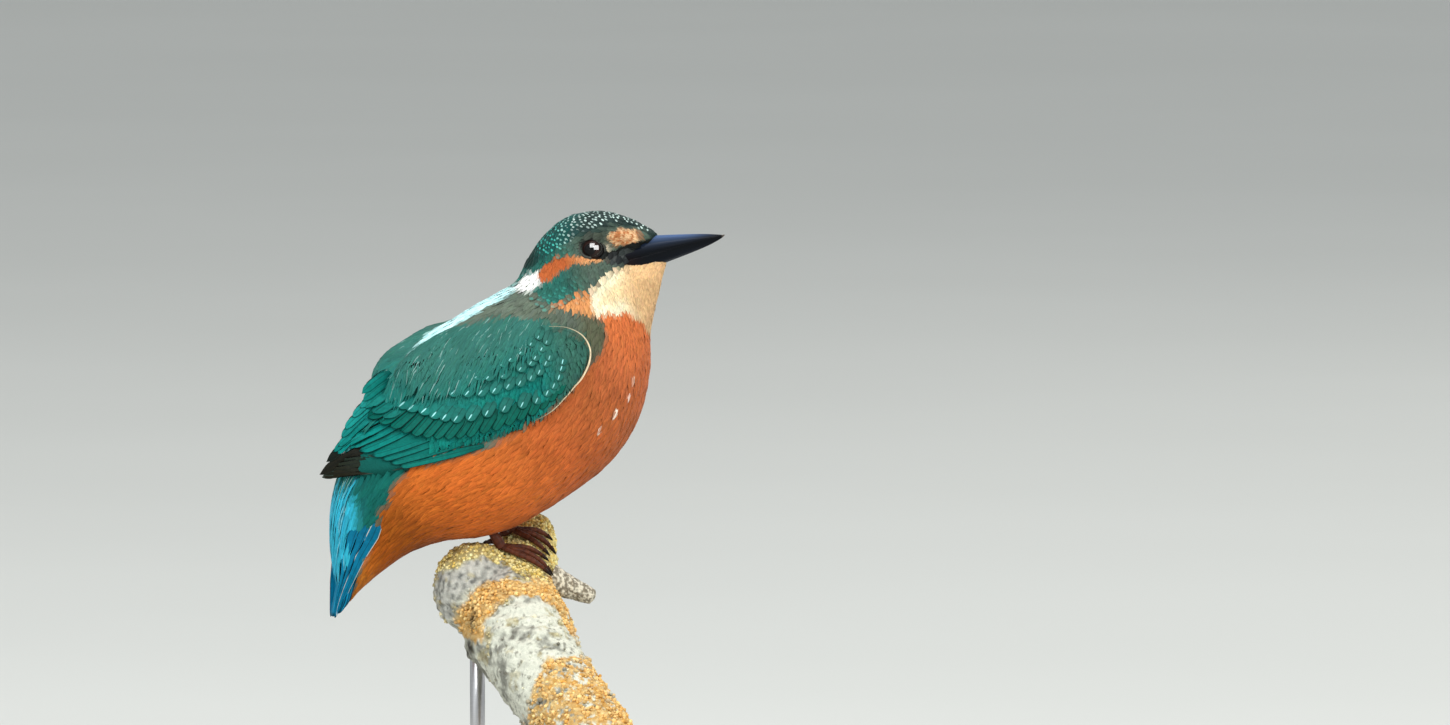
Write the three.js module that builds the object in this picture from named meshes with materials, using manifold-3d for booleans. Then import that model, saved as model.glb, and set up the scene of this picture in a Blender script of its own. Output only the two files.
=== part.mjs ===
// A common kingfisher, a young bird with a short bill, at rest on the end of a lichen-covered branch.
// A flat round base and two short rods hold the branch. Millimetres, +Z up. The bird is drawn from
// the point between its feet, GRIP: its trunk faces +X and its middle plane is Y = 0 there. The
// origin of the whole is the middle of the base's underside.
import * as THREE from "three";
import { mergeVertices } from "three/addons/utils/BufferGeometryUtils.js";
import Module from "manifold-3d";

const wasm = await Module();
wasm.setup();

// ---------------------------------------------------------------- driving dimensions
const GAP = 0.3; // clear space between neighbouring pieces
const GRIP = new THREE.Vector3(0, 20, 85); // from the middle of the base's underside to the feet
const PERCH_TURN = THREE.MathUtils.degToRad(-18); // the branch's own frame, about the vertical at GRIP
const HEAD_TURN = THREE.MathUtils.degToRad(-33); // the head looks to the bird's right
const HEAD_PIVOT_X = 20;

// The feathered body from the tail coverts to the bill, as slices that fan along the back and belly.
// back and front: [x, z] on the middle plane; half: half the width; level: how far the widest place
// lies above (+) or below (-) the middle, as a share of half the depth; pinch: how much the front
// part narrows, so that the face draws in to the bill.
const STATIONS = [
  { name: "covert tip", back: [-43.6, -14.5], front: [-42, -15.6], half: 0.6, level: 0 },
  { name: "long coverts", back: [-45.4, -5.5], front: [-38.4, -11.8], half: 4.6, level: 0 },
  { name: "tail coverts", back: [-46, 4.5], front: [-32.6, -7.2], half: 7.6, level: 0 },
  { name: "vent", back: [-44.8, 13.8], front: [-25, -2.4], half: 11.5, level: 0 },
  { name: "rump", back: [-41.4, 22.8], front: [-16.5, 0.2], half: 16, level: 0 },
  { name: "lower back", back: [-36.7, 32.5], front: [-6, 1.8], half: 19, level: -0.05 },
  { name: "belly", back: [-30.8, 41.8], front: [6.6, 5.4], half: 20.4, level: -0.08 },
  { name: "middle back", back: [-23.7, 50.1], front: [19.2, 12.2], half: 20.8, level: -0.06 },
  { name: "shoulders", back: [-15.4, 56.9], front: [30.6, 20.8], half: 20.2, level: 0 },
  { name: "keel", back: [-7, 62], front: [38, 31.8], half: 18.6, level: 0.04 },
  { name: "breast", back: [0.4, 65.8], front: [41, 44], half: 16.4, level: 0.04 },
  { name: "neck", back: [5.4, 68.8], front: [41, 54], half: 14.2, level: 0.02 },
  { name: "nape", back: [8.4, 74], front: [42, 61.2], half: 12.6, level: 0.02, pinch: 0 },
  { name: "hind crown", back: [12.7, 80.2], front: [43.6, 66.8], half: 12, level: 0.08, pinch: 0.2 },
  { name: "crown", back: [19, 85.1], front: [44.8, 70], half: 11.4, level: 0.16, pinch: 0.54 },
  { name: "fore crown", back: [27.2, 86.8], front: [45.3, 71.6], half: 8.9, level: 0.2, pinch: 0.46 },
  { name: "forehead", back: [34.6, 85.4], front: [45.6, 72.6], half: 5.6, level: 0.1, pinch: 0.36 },
  { name: "brow", back: [41, 82.6], front: [45.8, 73.6], half: 3.6, level: 0, pinch: 0.2 },
  { name: "bill root", back: [44.6, 80.2], front: [45.9, 75.4], half: 1.8, level: 0 },
];

// Soft swellings and hollows of the head: at [x, y, z] for the bird's left side, mirrored to the right.
const HEAD_FORMS = [
  { name: "eye hollow", at: [28, 10, 77.4], reach: 4, lift: -0.9 },
  { name: "brow ridge", at: [28.5, 9, 82.4], reach: 4.4, lift: 0.5 },
  { name: "lore hollow", at: [36.5, 6, 77.6], reach: 3.2, lift: -0.6 },
  { name: "ear coverts", at: [19.5, 11.5, 73.5], reach: 6, lift: 0.8 },
  { name: "cheek", at: [31, 9, 69], reach: 5.5, lift: 0.6 },
];

const EYE = { x: 28, y: 8, z: 77.5, radius: 3.4 };
const GAPE = new THREE.Vector2(34.2, 73.8); // corner of the mouth
const BILL_TIP = new THREE.Vector2(62, 81.3);
const BILL = { half: 5.3, upper: 6.6, lower: 3.2 }; // at the gape

const WING_THICKNESS = 2.3;
const WING_SPLIT = 0.5; // where the coverts end and only the long quills go on
const WING_LOW = [
  [11, 56.3], [18.3, 52.2], [14.6, 42.5], [4.8, 34.2], [-8, 29.4], [-20, 25.8], [-30.4, 21.3], [-39.7, 18.9],
  [-48.6, 17.6],
];
const WING_HIGH = [
  [11, 56.3], [6.4, 57.8], [-3.8, 58], [-11.9, 55.9], [-19.9, 52.2], [-28.6, 46], [-36.2, 36.7], [-42.7, 26.4],
  [-48.8, 17.8],
];
const TAIL = { root: [-39.4, 13], tip: [-44.3, -19.6], rootHalf: 5.4, tipHalf: 8, thickness: 1.4 };

// The branch from its sawn end below, up to its tip behind the bird, in the perch's frame.
const BRANCH = [
  { at: [29.5, -63, -54.5], radius: 10.6 },
  { at: [23.4, -52, -46.5], radius: 11 },
  { at: [14.8, -38, -37], radius: 11.6 },
  { at: [7, -22, -26], radius: 12.6 },
  { at: [3, -5, -15.5], radius: 13.4 },
  { at: [5.4, 7, -8.6], radius: 11.4 },
  { at: [7.2, 17, -2.6], radius: 8.8 },
  { at: [7.8, 23, 1.2], radius: 6 },
];
const KNOT = { at: [-6.6, -6, -12.4], radii: [11, 10, 12] };
const TWIG = { from: [13.2, -1, -9.6], to: [25.2, -1, -14], radius: 3.5 };

const TOE_RADIUS = 1.05;
// Each toe from the ankle: [mm along the branch towards its tip, degrees round it from the side the
// bird faces]. The last step is the claw's tip.
const TOES = [
  { name: "inner", path: [[1.4, 84], [2.8, 69], [3.4, 54], [3.6, 44], [3.8, 33]] },
  { name: "middle", path: [[0, 82], [0, 64], [-0.5, 46], [-0.8, 35], [-1, 23]] },
  { name: "outer", path: [[-1.4, 84], [-3, 69], [-4, 55], [-4.5, 45], [-4.8, 34]] },
  { name: "hind", path: [[0.4, 106], [0.8, 118], [1.2, 128], [1.4, 139]] },
];
const SIDES = [
  { side: "left", sign: 1, along: 0.85 },
  { side: "right", sign: -1, along: 0.745 },
];
const THIGH = { fromAnkle: [-3.4, 0.8, 6.2], radii: [8, 4.8, 5.6] };

const BASE = { radius: 54, height: 9, edge: 1.5 };
const ROD_RADIUS = 2;
// Rods in the perch's frame: top is inside the branch, which cuts the rod to length.
const RODS = [
  { name: "stand_rod_far", at: [-6, -3], top: -18 },
  { name: "stand_rod_near", at: [19.5, -46], top: -43 },
];

const LOOKS = {
  plumageHead: { color: 0x35625c, roughness: 0.7 },
  plumageNeck: { color: 0xc98a58, roughness: 0.8 },
  plumageTrunk: { color: 0xcf6f38, roughness: 0.8 },
  plumageWing: { color: 0x2a7a6f, roughness: 0.6 },
  plumageQuills: { color: 0x1d5e58, roughness: 0.6 },
  plumageTail: { color: 0x1273a0, roughness: 0.55 },
  plumageUnderTail: { color: 0xbf6a34, roughness: 0.8 },
  bill: { color: 0x15191c, roughness: 0.35 },
  eye: { color: 0x0b0706, roughness: 0.08 },
  foot: { color: 0x6d3326, roughness: 0.55 },
  claw: { color: 0x241c1a, roughness: 0.4 },
  bark: { color: 0xb5ab84, roughness: 0.95 },
  wood: { color: 0x4b3021, roughness: 0.5 },
  steel: { color: 0xb9bcc0, roughness: 0.3, metalness: 1 },
};

// ---------------------------------------------------------------- geometry helpers
const mix = THREE.MathUtils.lerp;
const smooth = (from, to, x) => THREE.MathUtils.smoothstep(x, from, to);
const radians = THREE.MathUtils.degToRad;
const plane = (points) => new THREE.SplineCurve(points.map(([x, y]) => new THREE.Vector2(x, y)));
const vector = (place) => new THREE.Vector3(...place);

// A closed mesh with shared corners, its faces turned outwards.
function facingOut(geometry) {
  const loose = geometry.clone();
  loose.deleteAttribute("normal");
  loose.deleteAttribute("uv");
  const closed = mergeVertices(loose, 1e-4);
  const at = (i) => new THREE.Vector3().fromBufferAttribute(closed.getAttribute("position"), i);
  const index = Array.from(closed.index.array).filter((corner, i, all) => {
    const [a, b, c] = all.slice(i - (i % 3), i - (i % 3) + 3);
    return a !== b && b !== c && c !== a;
  });
  let volume = 0;
  for (let i = 0; i < index.length; i += 3) {
    volume += at(index[i]).dot(at(index[i + 1]).cross(at(index[i + 2])));
  }
  closed.setIndex(volume < 0 ? index.reverse() : index);
  return closed;
}

// A ball's grid laid over rings: ring(s, turn) for s from 0 to 1, closed at both ends on middle(s).
function loft(ring, middle, around, along) {
  const grid = new THREE.SphereGeometry(1, around, along + 2);
  const places = grid.getAttribute("position");
  for (let i = 0; i < places.count; i++) {
    const row = Math.floor(i / (around + 1));
    const turn = ((i % (around + 1)) % around) * ((2 * Math.PI) / around);
    const end = row === 0 || row === along + 2;
    const place = end ? middle(row === 0 ? 0 : 1) : ring((row - 1) / along, turn);
    places.setXYZ(i, place.x, place.y, place.z);
  }
  return facingOut(grid);
}

// A point at turn round a curve, out by radius: turn 0 is level and to the right of the way it runs.
function roundCurve(curve, s, turn, radius) {
  const run = curve.getTangentAt(s);
  const side = new THREE.Vector3().crossVectors(run, new THREE.Vector3(0, 0, 1)).normalize();
  const rise = new THREE.Vector3().crossVectors(side, run);
  return curve
    .getPointAt(s)
    .addScaledVector(side, radius * Math.cos(turn))
    .addScaledVector(rise, radius * Math.sin(turn));
}

// A round rod of changing radius along a curve.
function taperedRod(curve, radius, around, along) {
  const ring = (s, turn) => roundCurve(curve, s, turn, radius(s));
  return loft(ring, (s) => curve.getPointAt(s), around, along);
}

const solidOf = (geometry) =>
  new wasm.Manifold(
    new wasm.Mesh({
      numProp: 3,
      vertProperties: geometry.getAttribute("position").array,
      triVerts: new Uint32Array(geometry.index.array),
    }),
  );

function geometryOf(solid) {
  const mesh = solid.getMesh();
  const geometry = new THREE.BufferGeometry();
  geometry.setAttribute("position", new THREE.BufferAttribute(mesh.vertProperties, 3));
  geometry.setIndex(new THREE.BufferAttribute(mesh.triVerts, 1));
  return geometry;
}

const carve = (geometry, ...tools) =>
  geometryOf(tools.reduce((left, tool) => left.subtract(solidOf(tool)), solidOf(geometry)));
const join = (...pieces) => geometryOf(pieces.map(solidOf).reduce((a, b) => a.add(b)));

// ---------------------------------------------------------------- the feathered body as one surface
const backLine = plane(STATIONS.map((s) => s.back));
const frontLine = plane(STATIONS.map((s) => s.front));
const girth = plane(STATIONS.map((s) => [s.half, s.level]));
const frontPinch = plane(STATIONS.map(({ pinch = 0 }, i) => [i, pinch]));
const station = (name) => STATIONS.findIndex((s) => s.name === name) / (STATIONS.length - 1);

// The slice of the body at t: its middle, the direction to the back, half its depth and its girth.
function slice(t) {
  const back = backLine.getPoint(t);
  const front = frontLine.getPoint(t);
  const { x: half, y: level } = girth.getPoint(t);
  const middle = back.clone().add(front).multiplyScalar(0.5);
  const rise = back.clone().sub(front);
  const depth = rise.length() / 2;
  const pinch = frontPinch.getPoint(t).y;
  return { middle, rise: rise.divideScalar(2 * depth), depth, half, level, pinch };
}

// The bare section, an oval. turn 0 is the back and a quarter turn the bird's left.
function section(t, turn) {
  const { middle, rise, depth, half, level, pinch } = slice(t);
  const height = depth * (Math.cos(turn) + level * Math.sin(turn) ** 2);
  const narrowed = 1 - pinch * (1 - smooth(-0.57, 0.26, Math.cos(turn)));
  return new THREE.Vector3(
    middle.x + rise.x * height,
    half * Math.sin(turn) * narrowed,
    middle.y + rise.y * height,
  );
}

function sectionNormal(t, turn) {
  const step = 1e-3;
  const along = section(Math.min(t + step, 1), turn).sub(section(Math.max(t - step, 0), turn));
  const around = section(t, turn + step).sub(section(t, turn - step));
  return new THREE.Vector3().crossVectors(along, around).normalize();
}

// The head's forms raise or sink the section along its normal.
function formLift(place) {
  let lift = 0;
  for (const { at, reach, lift: most } of HEAD_FORMS) {
    const away = Math.hypot(place.x - at[0], Math.abs(place.y) - at[1], place.z - at[2]);
    lift += most * Math.exp(-((away / reach) ** 2));
  }
  return lift;
}

const headShare = (t) => smooth(station("breast"), station("crown"), t);
function turnHead(place, share = 1) {
  const pivot = new THREE.Vector3(HEAD_PIVOT_X, 0, 0);
  return place.sub(pivot).applyAxisAngle(new THREE.Vector3(0, 0, 1), HEAD_TURN * share).add(pivot);
}

function bodyPoint(t, turn, lift = 0) {
  const place = section(t, turn);
  place.addScaledVector(sectionNormal(t, turn), lift + formLift(place));
  return turnHead(place, headShare(t));
}

function bodyMiddle(t) {
  const { middle } = slice(t);
  return turnHead(new THREE.Vector3(middle.x, 0, middle.y), headShare(t));
}

function bodyPart(from, to, around, along, grow = 0) {
  const at = (s) => mix(from, to, s);
  return loft((s, turn) => bodyPoint(at(s), turn, grow), (s) => bodyMiddle(at(s)), around, along);
}

// ---------------------------------------------------------------- wings, laid over the body's sides
const wingLow = plane(WING_LOW);
const wingHigh = plane(WING_HIGH);

// The body slice whose line runs through [x, z], by halving the range.
function sliceThrough(x, z) {
  let low = station("long coverts");
  let high = station("nape");
  for (let k = 0; k < 26; k++) {
    const t = (low + high) / 2;
    const { middle, rise } = slice(t);
    const ahead = (x - middle.x) * rise.y - (z - middle.y) * rise.x;
    if (ahead > 0) low = t;
    else high = t;
  }
  return (low + high) / 2;
}

// The place on the bird's left side that shows at [x, z] from the side, raised by lift.
function overBody(x, z, lift) {
  const t = sliceThrough(x, z);
  const { middle, rise, depth, level } = slice(t);
  const height = ((x - middle.x) * rise.x + (z - middle.y) * rise.y) / depth;
  const kept = THREE.MathUtils.clamp(height, -0.97, 0.975);
  const cosine =
    Math.abs(level) < 1e-6 ? kept : (1 - Math.sqrt(1 - 4 * level * (kept - level))) / (2 * level);
  const turn = Math.acos(THREE.MathUtils.clamp(cosine, -1, 1));
  const spare = (height - kept) * depth;
  return section(t, turn)
    .addScaledVector(sectionNormal(t, turn), lift)
    .add(new THREE.Vector3(rise.x * spare, 0, rise.y * spare));
}

function wingPoint(side, u, v, lift) {
  const low = wingLow.getPoint(u);
  const high = wingHigh.getPoint(u);
  const place = overBody(mix(low.x, high.x, v), mix(low.y, high.y, v), lift);
  place.y *= side;
  return place;
}

// A length of folded wing, as a thin shell with a rounded rim.
function wingPart(side, from, to, around, along) {
  const at = (s) => mix(from, to, s);
  const thicknessAt = (u) => mix(WING_THICKNESS, 1, smooth(0.55, 1, u)) * smooth(-0.06, 0.08, u);
  const lift = (u, share) => GAP + 0.1 + thicknessAt(u) * share;
  const ring = (s, turn) => {
    const share = 0.5 + 0.5 * Math.sign(Math.sin(turn)) * Math.abs(Math.sin(turn)) ** 0.5;
    return wingPoint(side, at(s), 0.5 - 0.5 * Math.cos(turn), lift(at(s), share));
  };
  const middle = (s) => wingPoint(side, at(s), 0.5, lift(at(s), 0.5));
  return loft(ring, middle, around, along);
}

// ---------------------------------------------------------------- tail
const tailRoot = new THREE.Vector3(TAIL.root[0], 0, TAIL.root[1]);
const tailRun = new THREE.Vector3(TAIL.tip[0], 0, TAIL.tip[1]).sub(tailRoot);

// The closed tail: a flat plate that widens and ends in a round edge.
function tailFan() {
  const rise = new THREE.Vector3(-tailRun.z, 0, tailRun.x).normalize();
  const ring = (s, turn) => {
    const round = Math.sqrt(1 - 0.9 * Math.max((s - 0.7) / 0.3, 0) ** 2);
    const half = mix(TAIL.rootHalf, TAIL.tipHalf, Math.sqrt(s)) * round;
    const thick = (TAIL.thickness / 2) * Math.abs(Math.sin(turn)) ** 0.4 * Math.sign(Math.sin(turn));
    return tailRoot
      .clone()
      .addScaledVector(tailRun, s)
      .addScaledVector(rise, thick)
      .add(new THREE.Vector3(0, half * Math.cos(turn), 0));
  };
  return loft(ring, (s) => tailRoot.clone().addScaledVector(tailRun, s), 16, 9);
}

// The slab that keeps the tail clear of its neighbours.
function tailSlot(width) {
  const slab = new THREE.BoxGeometry(tailRun.length() + 4, width, TAIL.thickness + 2 * GAP);
  slab.rotateY(Math.atan2(-tailRun.z, tailRun.x));
  const middle = tailRoot.clone().addScaledVector(tailRun, 0.5);
  slab.translate(middle.x, middle.y, middle.z);
  return facingOut(slab);
}

// ---------------------------------------------------------------- head pieces
// One half of the bill, a dagger split along the mouth line. grow makes the tool that clears its place.
function mandible(upper, grow = 0) {
  const reach = new THREE.Vector2().subVectors(BILL_TIP, GAPE);
  const rise = new THREE.Vector2(-reach.y, reach.x).normalize().multiplyScalar(upper ? 1 : -1);
  const depthAt = (taper) =>
    upper ? BILL.upper * taper ** 0.95 : BILL.lower * taper * (1 + 2.1 * taper * (1 - taper));
  const ring = (s, turn) => {
    const taper = mix(1.02, 0.005, s);
    const half = BILL.half * taper ** 0.75 * mix(1, 0.7, smooth(1, 0.5, taper)) + 0.12;
    const arch = Math.sin(turn) > 1e-9 ? (depthAt(taper) + grow) * Math.sin(turn) ** 0.8 : -grow;
    const place = GAPE.clone()
      .addScaledVector(reach, 1 - taper)
      .addScaledVector(rise, GAP / 2 + arch);
    return turnHead(new THREE.Vector3(place.x, Math.cos(turn) * (half + grow), place.y));
  };
  const middle = (s) => ring(s, Math.PI / 2).add(ring(s, -Math.PI / 2)).multiplyScalar(0.5);
  return loft(ring, middle, 12, 9);
}

function eyeBall(side, grow = 0) {
  const ball = new THREE.SphereGeometry(EYE.radius + grow, 12, 8);
  const place = turnHead(new THREE.Vector3(EYE.x, side * EYE.y, EYE.z));
  ball.translate(place.x, place.y, place.z);
  return facingOut(ball);
}

// ---------------------------------------------------------------- perch
const branchRun = new THREE.CatmullRomCurve3(BRANCH.map((b) => vector(b.at)), false, "centripetal");
const branchGirth = plane(BRANCH.map((b, i) => [i / (BRANCH.length - 1), b.radius]));
const branchLength = branchRun.getLength();
const branchRadius = (s) => branchGirth.getPoint(s).y;

function branch(grow = 0) {
  const rod = taperedRod(branchRun, (s) => branchRadius(s) + grow, 20, 16);
  const knot = new THREE.SphereGeometry(1, 12, 8);
  knot.scale(...KNOT.radii.map((radius) => radius + grow)).translate(...KNOT.at);
  return join(rod, facingOut(knot));
}

function twig(grow = 0) {
  const run = new THREE.LineCurve3(vector(TWIG.from), vector(TWIG.to));
  return taperedRod(run, (s) => TWIG.radius * mix(1.1, 0.85, s) + grow, 10, 4);
}

// ---------------------------------------------------------------- legs, first in the perch's frame
const perchTurn = new THREE.Matrix4().makeRotationZ(PERCH_TURN);

// A place pushed straight out of the knot until it clears it by lift.
function outOfKnot(place, lift) {
  const reach = vector(KNOT.radii).addScalar(lift);
  const share = place.clone().sub(vector(KNOT.at)).divide(reach).length();
  return share < 1 ? place.sub(vector(KNOT.at)).divideScalar(share).add(vector(KNOT.at)) : place;
}

// The middle line of a toe that lies on the branch: its points, lifted by the toe's own radius.
function toeLine(foot, path) {
  return path.map(([along, degrees], step) => {
    const s = foot.along + along / branchLength;
    const lift = GAP + 0.25 + TOE_RADIUS * mix(1, 0.7, step / path.length);
    const place = roundCurve(branchRun, s, radians(degrees), branchRadius(s) + lift);
    return outOfKnot(place, lift + 0.25);
  });
}

const ankle = (foot) =>
  roundCurve(branchRun, foot.along, radians(98), branchRadius(foot.along) + GAP + 2.2);

function footShape(foot) {
  const start = ankle(foot);
  const pieces = TOES.map(({ path }) => {
    const line = [start.clone(), ...toeLine(foot, path.slice(0, -1))];
    const curve = new THREE.CatmullRomCurve3(line, false, "centripetal");
    return taperedRod(curve, (s) => TOE_RADIUS * mix(1.15, 0.75, s), 7, 6);
  });
  const shank = new THREE.LineCurve3(start, start.clone().add(new THREE.Vector3(-2.6, 0.4, 4.4)));
  pieces.push(taperedRod(shank, () => 1.35, 8, 2));
  return join(...pieces).applyMatrix4(perchTurn);
}

function claw(foot, path) {
  const [before, from, tip] = toeLine(foot, path).slice(-3);
  const start = from.clone().addScaledVector(from.clone().sub(before).normalize(), GAP);
  const bend = start.clone().lerp(tip, 0.5).add(start.clone().sub(before).setLength(0.4));
  const curve = new THREE.QuadraticBezierCurve3(start, bend, tip);
  return taperedRod(curve, (s) => mix(0.72, 0.16, s), 5, 3).applyMatrix4(perchTurn);
}

function thigh(foot, grow = 0) {
  const [ahead, aside, above] = THIGH.fromAnkle;
  const { x, y, z } = ankle(foot).applyMatrix4(perchTurn);
  const ball = new THREE.SphereGeometry(1, 12, 8);
  ball.scale(...THIGH.radii.map((radius) => radius + grow));
  return facingOut(ball.translate(x + ahead, y + foot.sign * aside, z + above));
}

// ---------------------------------------------------------------- stand
function standBase() {
  const { radius, height, edge } = BASE;
  const profile = [[0, 0], [radius, 0], [radius, height - edge], [radius - edge, height], [0, height]];
  const lathe = new THREE.LatheGeometry(profile.map(([x, y]) => new THREE.Vector2(x, y)), 48);
  return facingOut(lathe.rotateX(Math.PI / 2));
}

// A rod from the base up to the branch's underside, in the perch's frame.
function rod([x, y], top) {
  const foot = BASE.height + GAP - GRIP.z;
  const height = top - foot;
  const post = new THREE.CylinderGeometry(ROD_RADIUS, ROD_RADIUS, height, 16).rotateX(Math.PI / 2);
  return carve(facingOut(post.translate(x, y, foot + height / 2)), branch(GAP));
}

// ---------------------------------------------------------------- the whole
const whole = new THREE.Group();
const bird = new THREE.Group();
const perch = new THREE.Group();
bird.position.copy(GRIP);
perch.position.copy(GRIP);
perch.rotation.z = PERCH_TURN;
whole.add(bird, perch);

function add(group, name, geometry, look) {
  const mesh = new THREE.Mesh(geometry, new THREE.MeshStandardMaterial(LOOKS[look]));
  mesh.name = name;
  group.add(mesh);
}

function lowestX(geometry) {
  geometry.computeBoundingBox();
  return geometry.boundingBox.min.x;
}

const CUT = GAP / 250; // half a gap, as a share of the body's run
const trunkShape = (grow = 0) =>
  bodyPart(station("vent") + CUT, station("breast") - CUT, 28, 16, grow);

function addBody() {
  const coverts = solidOf(bodyPart(0, station("vent") - CUT, 20, 8)).subtract(solidOf(tailSlot(40)));
  const [upper, under] = coverts.decompose().map(geometryOf).sort((a, b) => lowestX(a) - lowestX(b));
  add(bird, "tail_coverts_upper", upper, "plumageTail");
  add(bird, "tail_coverts_under", under, "plumageUnderTail");
  const pockets = SIDES.map((foot) => thigh(foot, GAP));
  add(bird, "trunk", carve(trunkShape(), tailSlot(15), ...pockets), "plumageTrunk");
  add(bird, "neck", bodyPart(station("breast") + CUT, station("nape") - CUT, 28, 4), "plumageNeck");
  const head = bodyPart(station("nape") + CUT, 1, 28, 13);
  const cleared = [mandible(true, GAP), mandible(false, GAP), eyeBall(1, GAP), eyeBall(-1, GAP)];
  add(bird, "head", carve(head, ...cleared), "plumageHead");
  add(bird, "tail", tailFan(), "plumageTail");
}

function addBill() {
  add(bird, "bill_upper", mandible(true), "bill");
  add(bird, "bill_lower", mandible(false), "bill");
}

function addSides() {
  const seam = 0.003; // half the space between the coverts and the quills, as a share of the wing
  for (const foot of SIDES) {
    const { side, sign } = foot;
    add(bird, `eye_${side}`, eyeBall(sign), "eye");
    add(bird, `wing_coverts_${side}`, wingPart(sign, 0.004, WING_SPLIT - seam, 16, 11), "plumageWing");
    add(bird, `wing_quills_${side}`, wingPart(sign, WING_SPLIT + seam, 0.985, 16, 9), "plumageQuills");
    add(bird, `leg_${side}`, thigh(foot), "plumageTrunk");
  }
}

function addFeet() {
  for (const foot of SIDES) {
    const shape = carve(footShape(foot), thigh(foot, GAP), trunkShape(GAP));
    add(bird, `foot_${foot.side}`, shape, "foot");
    for (const { name, path } of TOES) {
      add(bird, `claw_${name}_${foot.side}`, claw(foot, path), "claw");
    }
  }
}

function addPerch() {
  add(perch, "perch_branch", carve(branch(), twig(GAP)), "bark");
  add(perch, "perch_twig", twig(), "bark");
  for (const { name, at, top } of RODS) add(perch, name, rod(at, top), "steel");
  add(whole, "stand_base", standBase(), "wood");
}

addBody();
addBill();
addSides();
addFeet();
addPerch();

export default whole;
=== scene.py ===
"""A life-size young kingfisher on a lichen-covered perch: skin, feathers, bill, feet, branch and stand.

The bird is worked out in millimetres from the point between its feet, as it would stand with its head
straight; the head's turn comes last. Every piece is a formula on whole arrays and lies at the origin.
"""
import logging
from collections.abc import Callable, Sequence
from dataclasses import dataclass, field
from enum import Enum
from itertools import combinations
from typing import Any

import bpy
import numpy as np
from mathutils import Matrix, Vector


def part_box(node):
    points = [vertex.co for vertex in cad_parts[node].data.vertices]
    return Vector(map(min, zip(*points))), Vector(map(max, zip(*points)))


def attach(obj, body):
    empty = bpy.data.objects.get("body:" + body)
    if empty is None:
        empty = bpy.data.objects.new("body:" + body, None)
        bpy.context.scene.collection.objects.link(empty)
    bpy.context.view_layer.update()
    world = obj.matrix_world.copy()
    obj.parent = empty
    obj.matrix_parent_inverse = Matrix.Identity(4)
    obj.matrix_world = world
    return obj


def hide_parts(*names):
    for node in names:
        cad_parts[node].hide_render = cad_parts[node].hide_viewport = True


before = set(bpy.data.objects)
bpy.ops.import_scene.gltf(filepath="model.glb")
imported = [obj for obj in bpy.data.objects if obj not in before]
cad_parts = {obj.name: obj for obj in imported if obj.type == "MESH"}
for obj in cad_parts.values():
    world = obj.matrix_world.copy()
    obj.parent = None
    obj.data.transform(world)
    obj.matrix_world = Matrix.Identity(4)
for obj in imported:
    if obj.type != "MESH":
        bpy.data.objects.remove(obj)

Array = np.ndarray
Place = tuple[float, float, float]
Spot = tuple[float, float]
Colour = tuple[float, float, float]

LOG = logging.getLogger("kingfisher")
MM = 0.001
TAU = 2 * np.pi
UP = np.array([0.0, 0.0, 1.0])
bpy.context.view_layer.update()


# ---------- numbers and curves
def mix(a: Any, b: Any, share: Any) -> Any:
    """a at share 0, b at share 1, and the straight way between them."""
    return a + (b - a) * share


def smooth(start: float, end: float, x: Any) -> Any:
    """0 at start, 1 at end, with the cubic ease 3s^2 - 2s^3 between; start may be the larger."""
    s = np.clip((x - start) / (end - start), 0.0, 1.0)
    return s * s * (3 - 2 * s)


def bump(x: Any, middle: float, reach: float) -> Any:
    """A bell, exp(-((x - middle) / reach)^2)."""
    return np.exp(-(((x - middle) / reach) ** 2))


def unit(vectors: Array) -> Array:
    """The vectors, each divided by its own length."""
    return vectors / np.maximum(np.linalg.norm(vectors, axis=-1, keepdims=True), 1e-12)


def stacked(*parts: Any) -> Array:
    """The parts side by side in a last axis, each stretched to the others' shape."""
    return np.stack(np.broadcast_arrays(*parts), axis=-1)


def tinted(a: Any, b: Any, share: Any) -> Array:
    """Colour a where the share is 0, b where it is 1."""
    return mix(np.asarray(a, float), np.asarray(b, float), np.asarray(share)[..., None])


def circle(count: int) -> Array:
    """Evenly spaced angles of a full turn, the last a step short of it."""
    return np.arange(count) * TAU / count


def spun(places: Array, angle: Any) -> Array:
    """Places or directions, turned about the upright axis."""
    x, y, z = np.moveaxis(places, -1, 0)
    c, s = np.cos(angle), np.sin(angle)
    return stacked(x * c - y * s, x * s + y * c, z)


def leaving(start: Array, run: Array) -> Array:
    """How many runs from its start a ray leaves the unit ball about 0: the larger root of
    |start + k run| = 1, or 0 where it misses."""
    a, b, c = (run**2).sum(-1), (start * run).sum(-1), (start**2).sum(-1) - 1
    found = b * b - a * c
    return np.where(found > 0, (np.sqrt(np.maximum(found, 0)) - b) / a, 0)


def spline(points: Sequence[Any] | Array, share: Any) -> Array:
    """A uniform Catmull-Rom curve through points or numbers, its ends counted twice.

    Args:
        points: its corners.
        share: how far along, 0 to 1, in any shape.

    Returns:
        One point for each share, in a last axis."""
    given = np.asarray(points, float)
    given = given[:, None] if given.ndim == 1 else given
    padded = np.vstack([given[:1], given, given[-1:]])
    run = np.clip(np.asarray(share, float), 0, 1) * (len(given) - 1)
    first = np.minimum(run.astype(int), len(given) - 2)
    w = (run - first)[..., None]
    before, start, end, after = (padded[first + k] for k in range(4))
    leave, arrive = (end - before) / 2, (after - start) / 2
    cubic = 2 * start - 2 * end + leave + arrive
    square = -3 * start + 3 * end - 2 * leave - arrive
    return ((cubic * w + square) * w + leave) * w + start


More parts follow.
